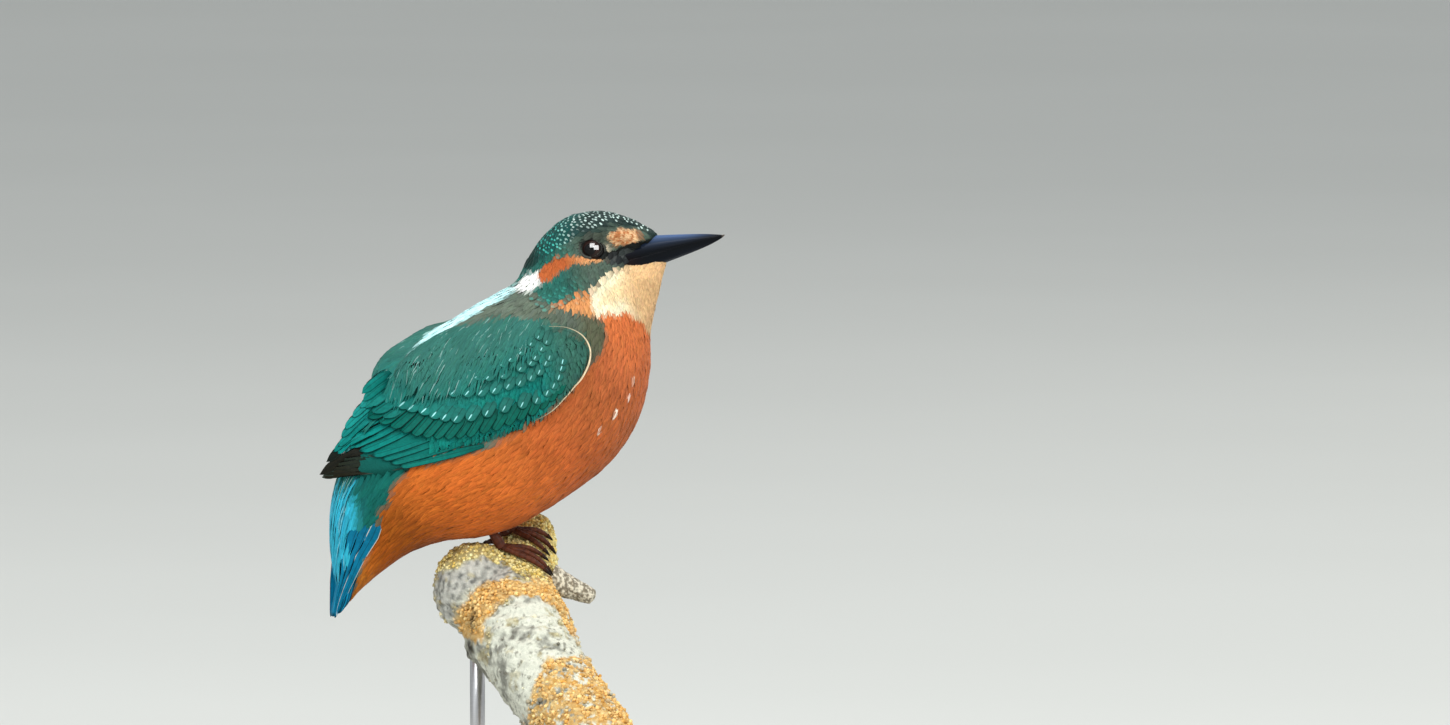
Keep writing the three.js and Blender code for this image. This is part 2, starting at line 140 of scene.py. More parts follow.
def hashed(cells: Array, seed: int) -> Array:
    """A number from -1 to 1 for each row of whole numbers, by a multiply-and-shift hash."""
    primes = np.array([374761393, 668265263, 1440662683], dtype=np.int64)
    h = (cells.astype(np.int64) * primes[: cells.shape[-1]]).sum(-1) + seed * 144665
    h = ((h ^ (h >> 13)) * 1274126177) & 0xFFFFFFFF
    return ((h ^ (h >> 16)) & 0xFFFF) / 32767.5 - 1


def noise(places: Array, size: float, seed: int = 0) -> Array:
    """Smooth value noise: hashed numbers at lattice corners, eased with 6s^5 - 15s^4 + 10s^3.

    Args:
        places: rows of two or three numbers.
        size: the lattice's cell.
        seed: picks another pattern.

    Returns:
        A number from -1 to 1 for each place."""
    scaled = places / size
    cell = np.floor(scaled)
    part = scaled - cell
    part = part * part * part * (part * (part * 6 - 15) + 10)
    total = np.zeros(places.shape[:-1])
    dims = places.shape[-1]
    for corner in np.ndindex(*(2,) * dims):
        step = np.array(corner)
        weight = np.prod(np.where(step == 1, part, 1 - part), axis=-1)
        total += weight * hashed(cell + step, seed)
    return total


def layered(places: Array, size: float, octaves: int, seed: int = 0) -> Array:
    """Noise in octaves, each half the size and 0.55 of the strength of the last."""
    return sum(0.55**k * noise(places, size / 2**k, seed + 7 * k) for k in range(octaves))


def spread(count: int, seed: int = 0) -> Array:
    """Pairs of numbers that fill a unit square evenly: multiples of the plastic number's inverse
    powers, wrapped at 1."""
    steps = np.arange(1, count + 1)[:, None] + seed * 1000
    return (0.5 + steps * np.array([0.7548776662466927, 0.5698402909980532])) % 1.0


def from_line(spots: Array, line: Sequence[Spot]) -> tuple[Array, Array]:
    """The nearest point of a broken line.

    Args:
        spots: points of a plane, shape (n, 2).
        line: the line's corners.

    Returns:
        (distances, shares of the line's length there)."""
    corners = np.asarray(line, float)
    start, run = corners[:-1], np.diff(corners, axis=0)
    size = np.linalg.norm(run, axis=1)
    offset = spots[:, None, :] - start
    part = np.clip((offset * run).sum(-1) / size**2, 0, 1)
    away = np.linalg.norm(offset - part[..., None] * run, axis=-1)
    nearest = away.argmin(axis=1)
    rows = np.arange(len(spots))
    before = np.concatenate([[0.0], np.cumsum(size)[:-1]])
    along = (before[nearest] + part[rows, nearest] * size[nearest]) / size.sum()
    return away[rows, nearest], along


def inside(spots: Array, outline: Sequence[Spot]) -> Array:
    """The distance inside a closed outline, negative outside it, by the even-odd rule.

    Args:
        spots: points of a plane, shape (n, 2).
        outline: its corners in order.

    Returns:
        A signed distance for each point."""
    corners = np.asarray(outline, float)
    closed = np.vstack([corners, corners[:1]])
    away, _ = from_line(spots, closed)
    (x, z), (ax, az), (bx, bz) = spots.T[:, :, None], closed[:-1].T, closed[1:].T
    rise = np.where(np.abs(bz - az) < 1e-9, 1e-9, bz - az)
    crossed = ((az > z) != (bz > z)) & (x < (bx - ax) * (z - az) / rise + ax)
    return np.where(crossed.sum(axis=1) % 2 == 1, away, -away)


# ---------- the feathered body as one surface
@dataclass(frozen=True)
class Slice:
    """A slice of the body: back and front lie on the middle plane; level lifts the widest place, as a
    share of half the depth; pinch narrows the front."""

    name: str
    back: Spot
    front: Spot
    half: float
    level: float = 0.0
    pinch: float = 0.0


@dataclass(frozen=True)
class Form:
    """A soft swelling, or a hollow if lift is negative, about a point of the head's two sides."""

    at: Place
    reach: float
    lift: float


SLICES = (
    Slice("covert tip", (-43.6, -14.5), (-42, -15.6), 0.6),
    Slice("long coverts", (-45.4, -5.5), (-38.4, -11.8), 4.6),
    Slice("tail coverts", (-46, 4.5), (-32.6, -7.2), 7.6),
    Slice("vent", (-44.8, 13.8), (-25, -2.4), 11.5),
    Slice("rump", (-41.4, 22.8), (-16.5, 0.2), 16),
    Slice("lower back", (-36.7, 32.5), (-6, 1.8), 19, -0.05),
    Slice("belly", (-30.8, 41.8), (6.6, 5.4), 20.4, -0.08),
    Slice("middle back", (-23.7, 50.1), (19.2, 12.2), 20.8, -0.06),
    Slice("shoulders", (-15.4, 56.9), (30.6, 20.8), 20.2),
    Slice("keel", (-7, 62), (38, 31.8), 18.6, 0.04),
    Slice("breast", (0.4, 65.8), (41, 44), 16.4, 0.04),
    Slice("neck", (5.4, 68.8), (41, 54), 14.2, 0.02),
    Slice("nape", (8.4, 74), (42, 61.2), 12.6, 0.02),
    Slice("hind crown", (12.7, 80.2), (43.6, 66.8), 12, 0.08, 0.2),
    Slice("crown", (19, 85.1), (44.8, 70), 11.4, 0.16, 0.54),
    Slice("fore crown", (27.2, 86.8), (45.3, 71.6), 8.9, 0.2, 0.46),
    Slice("forehead", (34.6, 85.4), (45.6, 72.6), 5.6, 0.1, 0.36),
    Slice("brow", (41, 82.6), (45.8, 73.6), 3.6, 0, 0.2),
    Slice("bill root", (44.6, 80.2), (45.9, 75.4), 1.8),
)
HEAD_FORMS = (
    Form((28, 10, 77.4), 4, -0.9),
    Form((28.5, 9, 82.4), 4.4, 0.5),
    Form((36.5, 6, 77.6), 3.2, -0.6),
    Form((19.5, 11.5, 73.5), 6, 0.8),
    Form((31, 9, 69), 5.5, 0.6),
)
WING_LOW = (
    (11, 56.3), (18.3, 52.2), (14.6, 42.5), (4.8, 34.2), (-8, 29.4), (-20, 25.8), (-30.4, 21.3),
    (-39.7, 18.9), (-48.6, 17.6),
)
WING_HIGH = (
    (11, 56.3), (6.4, 57.8), (-3.8, 58), (-11.9, 55.9), (-19.9, 52.2), (-28.6, 46), (-36.2, 36.7),
    (-42.7, 26.4), (-48.8, 17.8),
)


@dataclass
class Body:
    """The coat's outer surface at (t, turn): t runs from the tail coverts' tip, 0, to the bill's root, 1;
    turn is 0 along the back and a quarter turn on the bird's left."""

    slices: tuple[Slice, ...] = SLICES
    forms: tuple[Form, ...] = HEAD_FORMS
    head_turn: float = np.radians(-33)
    pivot_x: float = 20.0

    def __post_init__(self) -> None:
        """Gathers the slices into one table: back x, z, front x, z, half, level, pinch."""
        self.table = np.array([[*s.back, *s.front, s.half, s.level, s.pinch] for s in self.slices])
        low, high = (spline(edge, np.linspace(0, 1, 40)) for edge in (WING_LOW, WING_HIGH))
        self.wing_outline = np.vstack([low, high[-2:0:-1]])

    def at(self, name: str) -> float:
        """The t of a named slice."""
        return [s.name for s in self.slices].index(name) / (len(self.slices) - 1)

    def slice(self, t: Any) -> tuple[Array, Array, Array, Array]:
        """The slice at t: its middle, the way to the back, half its depth and (half, level, pinch)."""
        row = spline(self.table, t)
        middle = (row[..., 0:2] + row[..., 2:4]) / 2
        reach = (row[..., 0:2] - row[..., 2:4]) / 2
        depth = np.linalg.norm(reach, axis=-1)
        return middle, reach / depth[..., None], depth, row[..., 4:]

    def section(self, t: Any, turn: Any) -> Array:
        """The bare section: height = depth (cos + level sin^2), side = half sin, its front pinched."""
        middle, rise, depth, rest = self.slice(t)
        half, level, pinch = np.moveaxis(rest, -1, 0)
        height = depth * (np.cos(turn) + level * np.sin(turn) ** 2)
        drawn = 1 - pinch * (1 - smooth(-0.57, 0.26, np.cos(turn)))
        x, z = (middle[..., k] + rise[..., k] * height for k in (0, 1))
        return stacked(x, half * np.sin(turn) * drawn, z)

    def normal(self, t: Any, turn: Any) -> Array:
        """The outward direction: the cross product of small steps along and round."""
        step = 1e-3
        along = self.section(np.minimum(t + step, 1), turn) - self.section(np.maximum(t - step, 0), turn)
        around = self.section(t, turn + step) - self.section(t, turn - step)
        return unit(np.cross(along, around))

    def form_lift(self, places: Array) -> Array:
        """The sum of lift * exp(-(distance / reach)^2) over the head's forms."""
        lift = np.zeros(places.shape[:-1])
        x, y, z = np.moveaxis(places, -1, 0)
        even = stacked(x, np.abs(y), z)
        for form in self.forms:
            lift += form.lift * bump(np.linalg.norm(even - form.at, axis=-1), 0, form.reach)
        return lift

    def head_share(self, t: Any) -> Any:
        """A slice's share of the head's turn: none at the breast, all at the crown."""
        return smooth(self.at("breast"), self.at("crown"), t)

    def turned(self, places: Array, share: Any = 1.0) -> Array:
        """The places, turned about the neck's upright axis by a share of the head's turn."""
        pivot = np.array([self.pivot_x, 0.0, 0.0])
        return pivot + spun(places - pivot, self.head_turn * np.asarray(share, float))

    def straight(self, t: Any, turn: Any, lift: Any = 0.0) -> Array:
        """A point over the surface, with the head still straight."""
        places = self.section(t, turn)
        away = np.asarray(lift, float) + self.form_lift(places)
        return places + self.normal(t, turn) * away[..., None]

    def place(self, t: Any, turn: Any, lift: Any = 0.0) -> Array:
        """A point lift millimetres over the surface, in the bird's pose."""
        return self.turned(self.straight(t, turn, lift), self.head_share(t))

    def facing(self, t: Any, turn: Any) -> Array:
        """The outward direction in the bird's pose."""
        return spun(self.normal(t, turn), self.head_turn * self.head_share(t))

    def scale(self, t: Any, turn: Any) -> tuple[Array, Array]:
        """Millimetres for one unit of t and for one radian of turn."""
        step = 2e-3
        low, high = np.clip(t - step, 0, 1), np.clip(t + step, 0, 1)
        along = self.section(high, turn) - self.section(low, turn)
        around = self.section(t, turn + step) - self.section(t, turn - step)
        return np.linalg.norm(along, axis=-1) / (high - low), np.linalg.norm(around, axis=-1) / (2 * step)

    def beside(self, x: Array, z: Array) -> tuple[Array, Array, Array]:
        """The (t, turn) on the left that shows at (x, z) from the side, and the height left over above the
        section; t by halving its range, turn by solving the section's height."""
        low = np.full(np.shape(x), self.at("long coverts"))
        high = np.full(np.shape(x), self.at("nape"))
        for _ in range(20):
            t = (low + high) / 2
            middle, rise, depth, rest = self.slice(t)
            ahead = (x - middle[..., 0]) * rise[..., 1] - (z - middle[..., 1]) * rise[..., 0]
            low, high = np.where(ahead > 0, t, low), np.where(ahead > 0, high, t)
        middle, rise, depth, rest = self.slice(t)
        height = ((x - middle[..., 0]) * rise[..., 0] + (z - middle[..., 1]) * rise[..., 1]) / depth
        kept = np.clip(height, -0.97, 0.975)
        level = np.where(np.abs(rest[..., 1]) < 1e-6, 1e-6, rest[..., 1])
        root = np.sqrt(np.maximum(1 - 4 * level * (kept - level), 0))
        turn = np.arccos(np.clip((1 - root) / (2 * level), -1, 1))
        return t, turn, (height - kept) * depth

    def over(self, x: Array, z: Array, lift: Any) -> Array:
        """The place on the left that shows at (x, z) from the side, raised by lift."""
        t, turn, spare = self.beside(x, z)
        _, rise, _, _ = self.slice(t)
        base = self.section(t, turn) + self.normal(t, turn) * np.asarray(lift)[..., None]
        return base + stacked(rise[..., 0] * spare, 0, rise[..., 1] * spare)

    def wing_share(self, t: Array, turn: Array, edge: float = 1.2) -> Array:
        """1 well inside the folded wing's outline, 0 outside, eased over edge millimetres, and over more
        along its top, where the back runs on over it."""
        flat = self.section(t.ravel(), turn.ravel())
        deep = inside(flat[:, [0, 2]], self.wing_outline)
        upper = smooth(0, 6, flat[:, 2] - 44 - 0.44 * flat[:, 0])
        return smooth(-1.1, mix(edge - 0.7, 7.5, upper), deep).reshape(np.shape(t))


@dataclass
class Field:
    """Numbers on an even grid over (t, turn); turn wraps round."""

    table: Array

    def read(self, t: Any, turn: Any) -> Array:
        """The weighted mean of the four values about each place."""
        rows, columns = self.table.shape
        down = np.clip(np.asarray(t, float), 0, 1) * (rows - 1)
        round_ = (np.asarray(turn, float) / TAU % 1.0) * columns
        r0, c0 = np.minimum(down.astype(int), rows - 2), round_.astype(int) % columns
        r, c = down - r0, round_ % 1.0
        c1 = (c0 + 1) % columns
        near = mix(self.table[r0, c0], self.table[r0, c1], c)
        return mix(near, mix(self.table[r0 + 1, c0], self.table[r0 + 1, c1], c), r)


# ---------- meshes
@dataclass
class Shell:
    """A mesh in the making: points in millimetres from the grip, faces, and what the points carry."""

    points: Array
    quads: Array
    triangles: Array = field(default_factory=lambda: np.empty((0, 3), int))
    values: dict[str, Array] = field(default_factory=dict)
    maps: dict[str, Array] = field(default_factory=dict)
    facing: Array | None = None

    def joined(self, other: "Shell") -> "Shell":
        """This shell and another that carries the same, as one."""
        shift = len(self.points)
        values = {name: np.concatenate([v, other.values[name]]) for name, v in self.values.items()}
        maps = {name: np.concatenate([v, other.maps[name]]) for name, v in self.maps.items()}
        return Shell(
            np.concatenate([self.points, other.points]),
            np.concatenate([self.quads, other.quads + shift]),
            np.concatenate([self.triangles, other.triangles + shift]),
            values,
            maps,
            None if self.facing is None else np.concatenate([self.facing, other.facing]),
        )

    def mirrored(self) -> "Shell":
        """The same on the bird's other side."""
        flip = np.array([1.0, -1.0, 1.0])
        facing = None if self.facing is None else self.facing * flip
        return Shell(self.points * flip, self.quads[:, ::-1], self.triangles[:, ::-1], self.values,
            self.maps, facing)


def all_joined(shells: Sequence[Shell]) -> Shell:
    """Several shells as one."""
    whole = shells[0]
    for shell in shells[1:]:
        whole = whole.joined(shell)
    return whole


def both(left: Shell) -> tuple[tuple[str, Shell], ...]:
    """A left shell and its mirror image, each with its side's name."""
    return ("left", left), ("right", left.mirrored())


def lofts(rings: Array, tips: Array, roots: Array | None = None) -> Shell:
    """Many closed shapes at once: rings joined in order and closed on a tip, and on a root if given.

    Args:
        rings: shape (shapes, rings, round, 3); along, then round, turns outwards.
        tips: a closing point for each shape.
        roots: the same for the first rings; without them a fan of triangles closes each.

    Returns:
        One shell, each shape's points together and in order."""
    shapes, rows, ring, _ = rings.shape
    extra = [tips[:, None]] + ([] if roots is None else [roots[:, None]])
    points = np.concatenate([rings.reshape(shapes, rows * ring, 3), *extra], axis=1)
    here, beside = np.arange(ring), (np.arange(ring) + 1) % ring
    row = np.arange(rows - 1)[:, None] * ring
    quads = stacked(row + here, row + ring + here, row + ring + beside, row + beside)
    last, tip = (rows - 1) * ring, np.full(ring, rows * ring)
    fans = [stacked(last + beside, last + here, tip)]
    if roots is None:
        fans.append(stacked(np.zeros(ring - 2, int), here[1:-1], here[2:]))
    else:
        fans.append(stacked(here, beside, tip + 1))
    shift = (np.arange(shapes) * points.shape[1])[:, None, None]
    return Shell(
        points.reshape(-1, 3),
        (quads.reshape(1, -1, 4) + shift).reshape(-1, 4),
        (np.concatenate(fans)[None] + shift).reshape(-1, 3),
    )


def loft(rings: Array) -> Shell:
    """One closed shape, its ends closed on the middles of the first and the last ring."""
    return lofts(rings[None], rings[-1].mean(axis=0)[None], rings[0].mean(axis=0)[None])


def wreath(rings: Array) -> Shell:
    """A shape closed both ways: each ring joined to the next, and the last to the first."""
    rows, ring, _ = rings.shape
    k, i = np.meshgrid(np.arange(rows), np.arange(ring), indexing="ij")
    up, on = (k + 1) % rows, (i + 1) % ring
    quads = stacked(k * ring + i, up * ring + i, up * ring + on, k * ring + on)
    return Shell(rings.reshape(-1, 3), quads.reshape(-1, 4))


def round_curve(curve: Array, radius: Array, ring: int) -> Array:
    """Rings about a curve, square to its run, turn 0 level.

    Args:
        curve: its points, shape (n, 3).
        radius: shape (n,) or (n, ring).
        ring: points round each ring.

    Returns:
        Points of shape (n, ring, 3), facing outwards."""
    run = unit(np.gradient(curve, axis=0))
    side = unit(np.cross(run, UP))
    rise = np.cross(side, run)
    turn = -circle(ring)
    wide = np.cos(turn)[None, :, None] * side[:, None]
    high = np.sin(turn)[None, :, None] * rise[:, None]
    reach = np.broadcast_to(np.asarray(radius, float).reshape(len(curve), -1), (len(curve), ring))
    return curve[:, None] + reach[..., None] * (wide + high)


class Slot(Enum):
    """The record's material slots, one passed with each piece."""

    HEAD = "plumage_head"
    BODY = "plumage_body"
    WING = "plumage_wing"
    TAIL = "plumage_tail"
    BILL = "bill"
    EYE = "eye"
    FOOT = "foot"
    CLAW = "claw"
    BARK = "bark"
    WOOD = "stand_wood"
    STEEL = "stand_steel"


@dataclass
class Workshop:
    """Turns shells into pieces that ride on the record's one body."""

    grip: Array
    made: int = 0

    def piece(self, name: str, shell: Shell, look: bpy.types.Material, slot: Slot,
              replaced: Sequence[str] = ()) -> bpy.types.Object:
        """Makes one piece.

        Args:
            name: the object's name.
            shell: its shape.
            look: its material.
            slot: the record's slot; not used.
            replaced: CAD nodes that it stands for.

        Returns:
            The object, at the origin."""
        mesh = bpy.data.meshes.new(name)
        corners = np.concatenate([shell.quads.ravel(), shell.triangles.ravel()]).astype(np.int32)
        sizes = np.repeat([4, 3], [len(shell.quads), len(shell.triangles)]).astype(np.int32)
        mesh.vertices.add(len(shell.points))
        mesh.vertices.foreach_set("co", ((shell.points + self.grip) * MM).astype(np.float32).ravel())
        mesh.loops.add(len(corners))
        mesh.loops.foreach_set("vertex_index", corners)
        mesh.polygons.add(len(sizes))
        mesh.polygons.foreach_set("loop_start", (np.cumsum(sizes) - sizes).astype(np.int32))
        mesh.polygons.foreach_set("loop_total", sizes)
        mesh.polygons.foreach_set("use_smooth", np.ones(len(sizes), bool))
        for label, places in shell.maps.items():
            uv = mesh.uv_layers.new(name=label)
            uv.data.foreach_set("uv", places[corners].astype(np.float32).ravel())
        mesh.update(calc_edges=True)
        if shell.facing is not None:
            mesh.normals_split_custom_set_from_vertices(shell.facing.tolist())
        for label, value in shell.values.items():
            self.carry(mesh, label, value)
        mesh.materials.append(look)
        piece = bpy.data.objects.new(name, mesh)
        bpy.context.scene.collection.objects.link(piece)
        if replaced:
            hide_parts(*replaced)
        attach(piece, "root")
        self.made += 1
        LOG.info("%-24s %7d triangles", name, 2 * len(shell.quads) + len(shell.triangles))
        return piece

    @staticmethod
    def carry(mesh: bpy.types.Mesh, label: str, value: Array) -> None:
        """Puts a number or a colour on each of the mesh's points."""
        if value.ndim == 1:
            layer = mesh.attributes.new(label, "FLOAT", "POINT")
            layer.data.foreach_set("value", value.astype(np.float32))
        else:
            layer = mesh.color_attributes.new(label, "FLOAT_COLOR", "POINT")
            full = np.hstack([np.clip(value, 0, 1), np.ones((len(value), 1))])
            layer.data.foreach_set("color", full.astype(np.float32).ravel())


# ---------- materials
class Signal:
    """A node's output, with arithmetic that adds Math nodes."""

    def __init__(self, paint: "Paint", socket: bpy.types.NodeSocket) -> None:
        """Keeps the socket and its material."""
        self.paint = paint
        self.socket = socket

    def maths(self, operation: str, *values: Any) -> "Signal":
        """One Math node on this signal and the values."""
        return self.paint.node("ShaderNodeMath", {"operation": operation}, self, *values)[0]

    def __add__(self, other: Any) -> "Signal":
        """Sum."""
        return self.maths("ADD", other)

    __radd__ = __add__

    def __mul__(self, other: Any) -> "Signal":
        """Product."""
        return self.maths("MULTIPLY", other)

    __rmul__ = __mul__

    def __sub__(self, other: Any) -> "Signal":
        """Difference."""
        return self.maths("SUBTRACT", other)

    def __rsub__(self, other: float) -> "Signal":
        """A number less this signal."""
        return self.paint.node("ShaderNodeMath", {"operation": "SUBTRACT"}, other, self)[0]

    def eased(self, start: float, end: float) -> "Signal":
        """A smooth step from 0 at start to 1 at end."""
        settings = {"interpolation_type": "SMOOTHSTEP", "clamp": True}
        return self.paint.node("ShaderNodeMapRange", settings, self, start, end, 0.0, 1.0)[0]


class Paint:
    """A material under way: a Principled shader and the nodes that feed it."""

    def __init__(self, name: str, **constants: Any) -> None:
        """Starts a material.

        Args:
            name: its name.
            **constants: numbers for the shader's sockets, with _ for a space."""
        self.material = bpy.data.materials.new(name)
        self.material.use_nodes = True
        self.tree = self.material.node_tree
        self.shader = self.tree.nodes["Principled BSDF"]
        for label, value in constants.items():
            self.shader.inputs[label.replace("_", " ")].default_value = value

    def node(self, kind: str, settings: dict[str, Any], *values: Any, **named: Any) -> list[Signal]:
        """Adds a node.

        Args:
            kind: its type.
            settings: its properties.
            *values: numbers or signals for its sockets in order; None leaves one as it is.
            **named: the same by name, with _ for a space.

        Returns:
            Its outputs that are in use."""
        made = self.tree.nodes.new(kind)
        for label, value in settings.items():
            setattr(made, label, value)
        inputs = [s for s in made.inputs if s.enabled]
        pairs = [*zip(inputs, values), *((made.inputs[k.replace("_", " ")], v) for k, v in named.items())]
        for socket, value in pairs:
            if isinstance(value, Signal):
                self.tree.links.new(value.socket, socket)
            elif value is not None:
                socket.default_value = value
        return [Signal(self, s) for s in made.outputs if s.enabled]

    def feed(self, label: str, signal: Signal) -> None:
        """Links a signal to one of the shader's sockets."""
        self.tree.links.new(signal.socket, self.shader.inputs[label])

    def carried(self, label: str) -> tuple[Signal, Signal]:
        """A value that the mesh carries: (as a colour, as a number)."""
        outputs = self.node("ShaderNodeAttribute", {"attribute_name": label})
        return outputs[0], outputs[2]

    def position(self) -> Signal:
        """The place on the object, in metres."""
        return self.node("ShaderNodeTexCoord", {})[3]

    def map_axes(self, label: str) -> tuple[Signal, Signal]:
        """The two coordinates of one of the mesh's own maps."""
        uv = self.node("ShaderNodeUVMap", {"uv_map": label})[0]
        x, y, _ = self.node("ShaderNodeSeparateXYZ", {}, uv)
        return x, y

    def grain(self, scale: float, detail: float = 3.0, vector: Signal | None = None) -> Signal:
        """Noise from 0 to 1 with that many cells in a metre."""
        place = self.position() if vector is None else vector
        return self.node("ShaderNodeTexNoise", {}, place, Scale=scale, Detail=detail)[0]

    def blend(self, a: Any, b: Any, share: Any, mode: str = "MIX") -> Signal:
        """Colours a and b, mixed by a share."""
        settings = {"data_type": "RGBA", "blend_type": mode}
        a, b = ((*c, 1.0) if isinstance(c, tuple) else c for c in (a, b))
        return self.node("ShaderNodeMix", settings, share, a, b)[0]

    def shaded(self, colour: Any, strength: Signal) -> Signal:
        """A colour made lighter or darker by a number about 1."""
        grey = self.node("ShaderNodeCombineColor", {}, strength, strength, strength)[0]
        return self.blend(colour, grey, 1.0, "MULTIPLY")

    def raise_by(self, height: Signal, strength: float, distance: float) -> None:
        """Bumps the surface by a height, distance metres at most."""
        named = {"Strength": strength, "Distance": distance, "Height": height}
        self.feed("Normal", self.node("ShaderNodeBump", {}, **named)[0])


@dataclass(frozen=True)
class FeatherLook:
    """Feathers: a carried tint, streaked along barbs that slant off the shaft."""

    name: str
    roughness: float = 0.6
    sheen: float = 0.0
    barbs: float = 14.0
    fibres: float = 0.0
    contrast: float = 0.22
    spot: Colour | None = None
    spot_at: tuple[float, float, float, float] = (0.5, 0.8, 0.2, 0.12)
    edged: bool = False
    shafted: bool = False
    marked: bool = False
    gloss: float = 0.06

    def material(self) -> bpy.types.Material:
        """The tint, shaded by barbs at sin(along + slant |across|), with spot, edges and shaft where
        carried."""
        paint = Paint(self.name, Roughness=self.roughness, Sheen_Weight=self.sheen, Sheen_Roughness=0.4,
                      Specular_IOR_Level=self.gloss)
        tint, _ = paint.carried("tint")
        across, along = paint.map_axes("Vane")
        off = (across - 0.5).maths("ABSOLUTE") * 2.0
        rough = paint.grain(900.0, 2.0)
        wave = (along + off * 0.35 + rough * 0.06) * (self.barbs * TAU)
        wave = wave + (across + rough * 0.3) * (self.fibres * TAU)
        barb = wave.maths("SINE")
        light = barb * (0.5 * self.contrast) + (rough - 0.5) * (2.4 * self.contrast) + 1.0
        colour = paint.shaded(tint, light)
        height = barb * 0.5 + rough
        if self.shafted:
            shaft = 1.0 - off.eased(0.03, 0.1)
            colour = paint.blend(colour, (0.004, 0.008, 0.009), shaft * 0.55)
            height = height + shaft * 1.5
        if self.edged:
            trim, _ = paint.carried("trim")
            _, strength = paint.carried("edge")
            rim = (off.eased(0.82, 0.96) + along.eased(0.955, 0.99) * 0.7).maths("MINIMUM", 1.0)
            colour = paint.blend(colour, trim, rim * strength)
        if self.spot is not None:
            x, y, wide, long = self.spot_at
            away = ((across - x) * (1 / wide)).maths("POWER", 2.0)
            away = away + ((along - y) * (1 / long)).maths("POWER", 2.0)
            _, strength = paint.carried("spot")
            mark = (1.0 - away.eased(0.45, 1.25)) * strength
            colour = paint.blend(colour, paint.carried("mark")[0] if self.marked else self.spot, mark)
        paint.feed("Base Color", colour)
        paint.raise_by(height, 0.2, 0.00006)
        return paint.material


@dataclass(frozen=True)
class SkinLook:
    """The skin under the feathers: the same markings, darker as painted shade under the coat, with a fine
    down.
    """

    name: str = "skin_and_down"

    def material(self) -> bpy.types.Material:
        """The carried tint, mottled, with a bump of short down."""
        paint = Paint(self.name, Roughness=0.85, Specular_IOR_Level=0.1)
        tint, _ = paint.carried("tint")
        down = paint.grain(2200.0, 4.0)
        paint.feed("Base Color", paint.shaded(tint, down * 0.4 + 0.7))
        paint.raise_by(down, 0.6, 0.0003)
        return paint.material


@dataclass(frozen=True)
class HornLook:
    """Bill and claws: dark horn with streaks along it."""

    name: str
    roughness: float = 0.33
    streaks: float = 26.0

    def material(self) -> bpy.types.Material:
        """The carried tint, streaked by noise drawn out along the horn."""
        paint = Paint(self.name, Coat_Weight=0.03, Coat_Roughness=0.25, Specular_IOR_Level=0.07)
        tint, _ = paint.carried("tint")
        across, along = paint.map_axes("Length")
        drawn = paint.node("ShaderNodeCombineXYZ", {}, across * self.streaks, along * 3.0, 0.0)[0]
        streak = paint.grain(1.0, 4.0, drawn)
        fine = paint.grain(2500.0, 3.0)
        paint.feed("Base Color", paint.shaded(tint, streak * 0.9 + 0.55))
        paint.feed("Roughness", streak * 0.16 + fine * 0.1 + (self.roughness - 0.12))
        paint.raise_by(streak + fine * 0.3, 0.25, 0.00012)
        return paint.material


@dataclass(frozen=True)
class EyeLook:
    """The eye: a black pupil in a very dark brown iris under a wet gloss."""

    name: str = "eye_wet"

    def material(self) -> bpy.types.Material:
        """The carried tint with fine spokes, all but mirror-smooth."""
        paint = Paint(self.name, Roughness=0.03, Specular_IOR_Level=0.14)
        tint, _ = paint.carried("tint")
        spokes = paint.grain(3000.0, 2.0)
        paint.feed("Base Color", paint.shaded(tint, spokes * 0.6 + 0.7))
        return paint.material


@dataclass(frozen=True)
class GrainLook:
    """Rough solids whose colour is carried: lids, toes, bark, lichen."""

    name: str
    roughness: float
    cell: float
    contrast: float
    depth: float
    strength: float = 0.6

    def material(self) -> bpy.types.Material:
        """The carried tint, mottled by two sizes of noise and finely pitted."""
        paint = Paint(self.name, Roughness=self.roughness, Specular_IOR_Level=0.15)
        tint, _ = paint.carried("tint")
        coarse, fine = paint.grain(self.cell, 5.0), paint.grain(self.cell * 3.7, 3.0)
        mottle = (coarse - 0.5) * (2.2 * self.contrast) + (fine - 0.5) * (1.6 * self.contrast) + 1.0
        paint.feed("Base Color", paint.shaded(tint, mottle))
        paint.raise_by(coarse + fine * 0.6, self.strength, self.depth)
        return paint.material


@dataclass(frozen=True)
class WoodLook:
    """The turned base: dark hardwood in long rings, under satin varnish."""

    name: str = "stand_hardwood"
    dark: Colour = (0.042, 0.018, 0.009)
    light: Colour = (0.135, 0.062, 0.028)

    def material(self) -> bpy.types.Material:
        """Rings of a wave bent by noise and drawn out along X, with fine pores."""
        paint = Paint(self.name, Coat_Weight=0.3, Coat_Roughness=0.25)
        place = paint.position()
        drawn = paint.node("ShaderNodeMapping", {}, place, Scale=(0.12, 1.0, 1.0))[0]
        bent = paint.grain(60.0, 4.0, drawn)
        bands = {"wave_type": "BANDS", "bands_direction": "Y"}
        rings = paint.node("ShaderNodeTexWave", bands, drawn, Scale=90.0, Distortion=9.0, Detail=3.0)[1]
        pores = paint.grain(900.0, 3.0, drawn)
        share = rings * 0.55 + bent * 0.35 + pores * 0.2
        paint.feed("Base Color", paint.blend(self.dark, self.light, share))
        paint.feed("Roughness", pores * 0.2 + 0.3)
        paint.raise_by(pores + rings * 0.3, 0.2, 0.0001)
        return paint.material


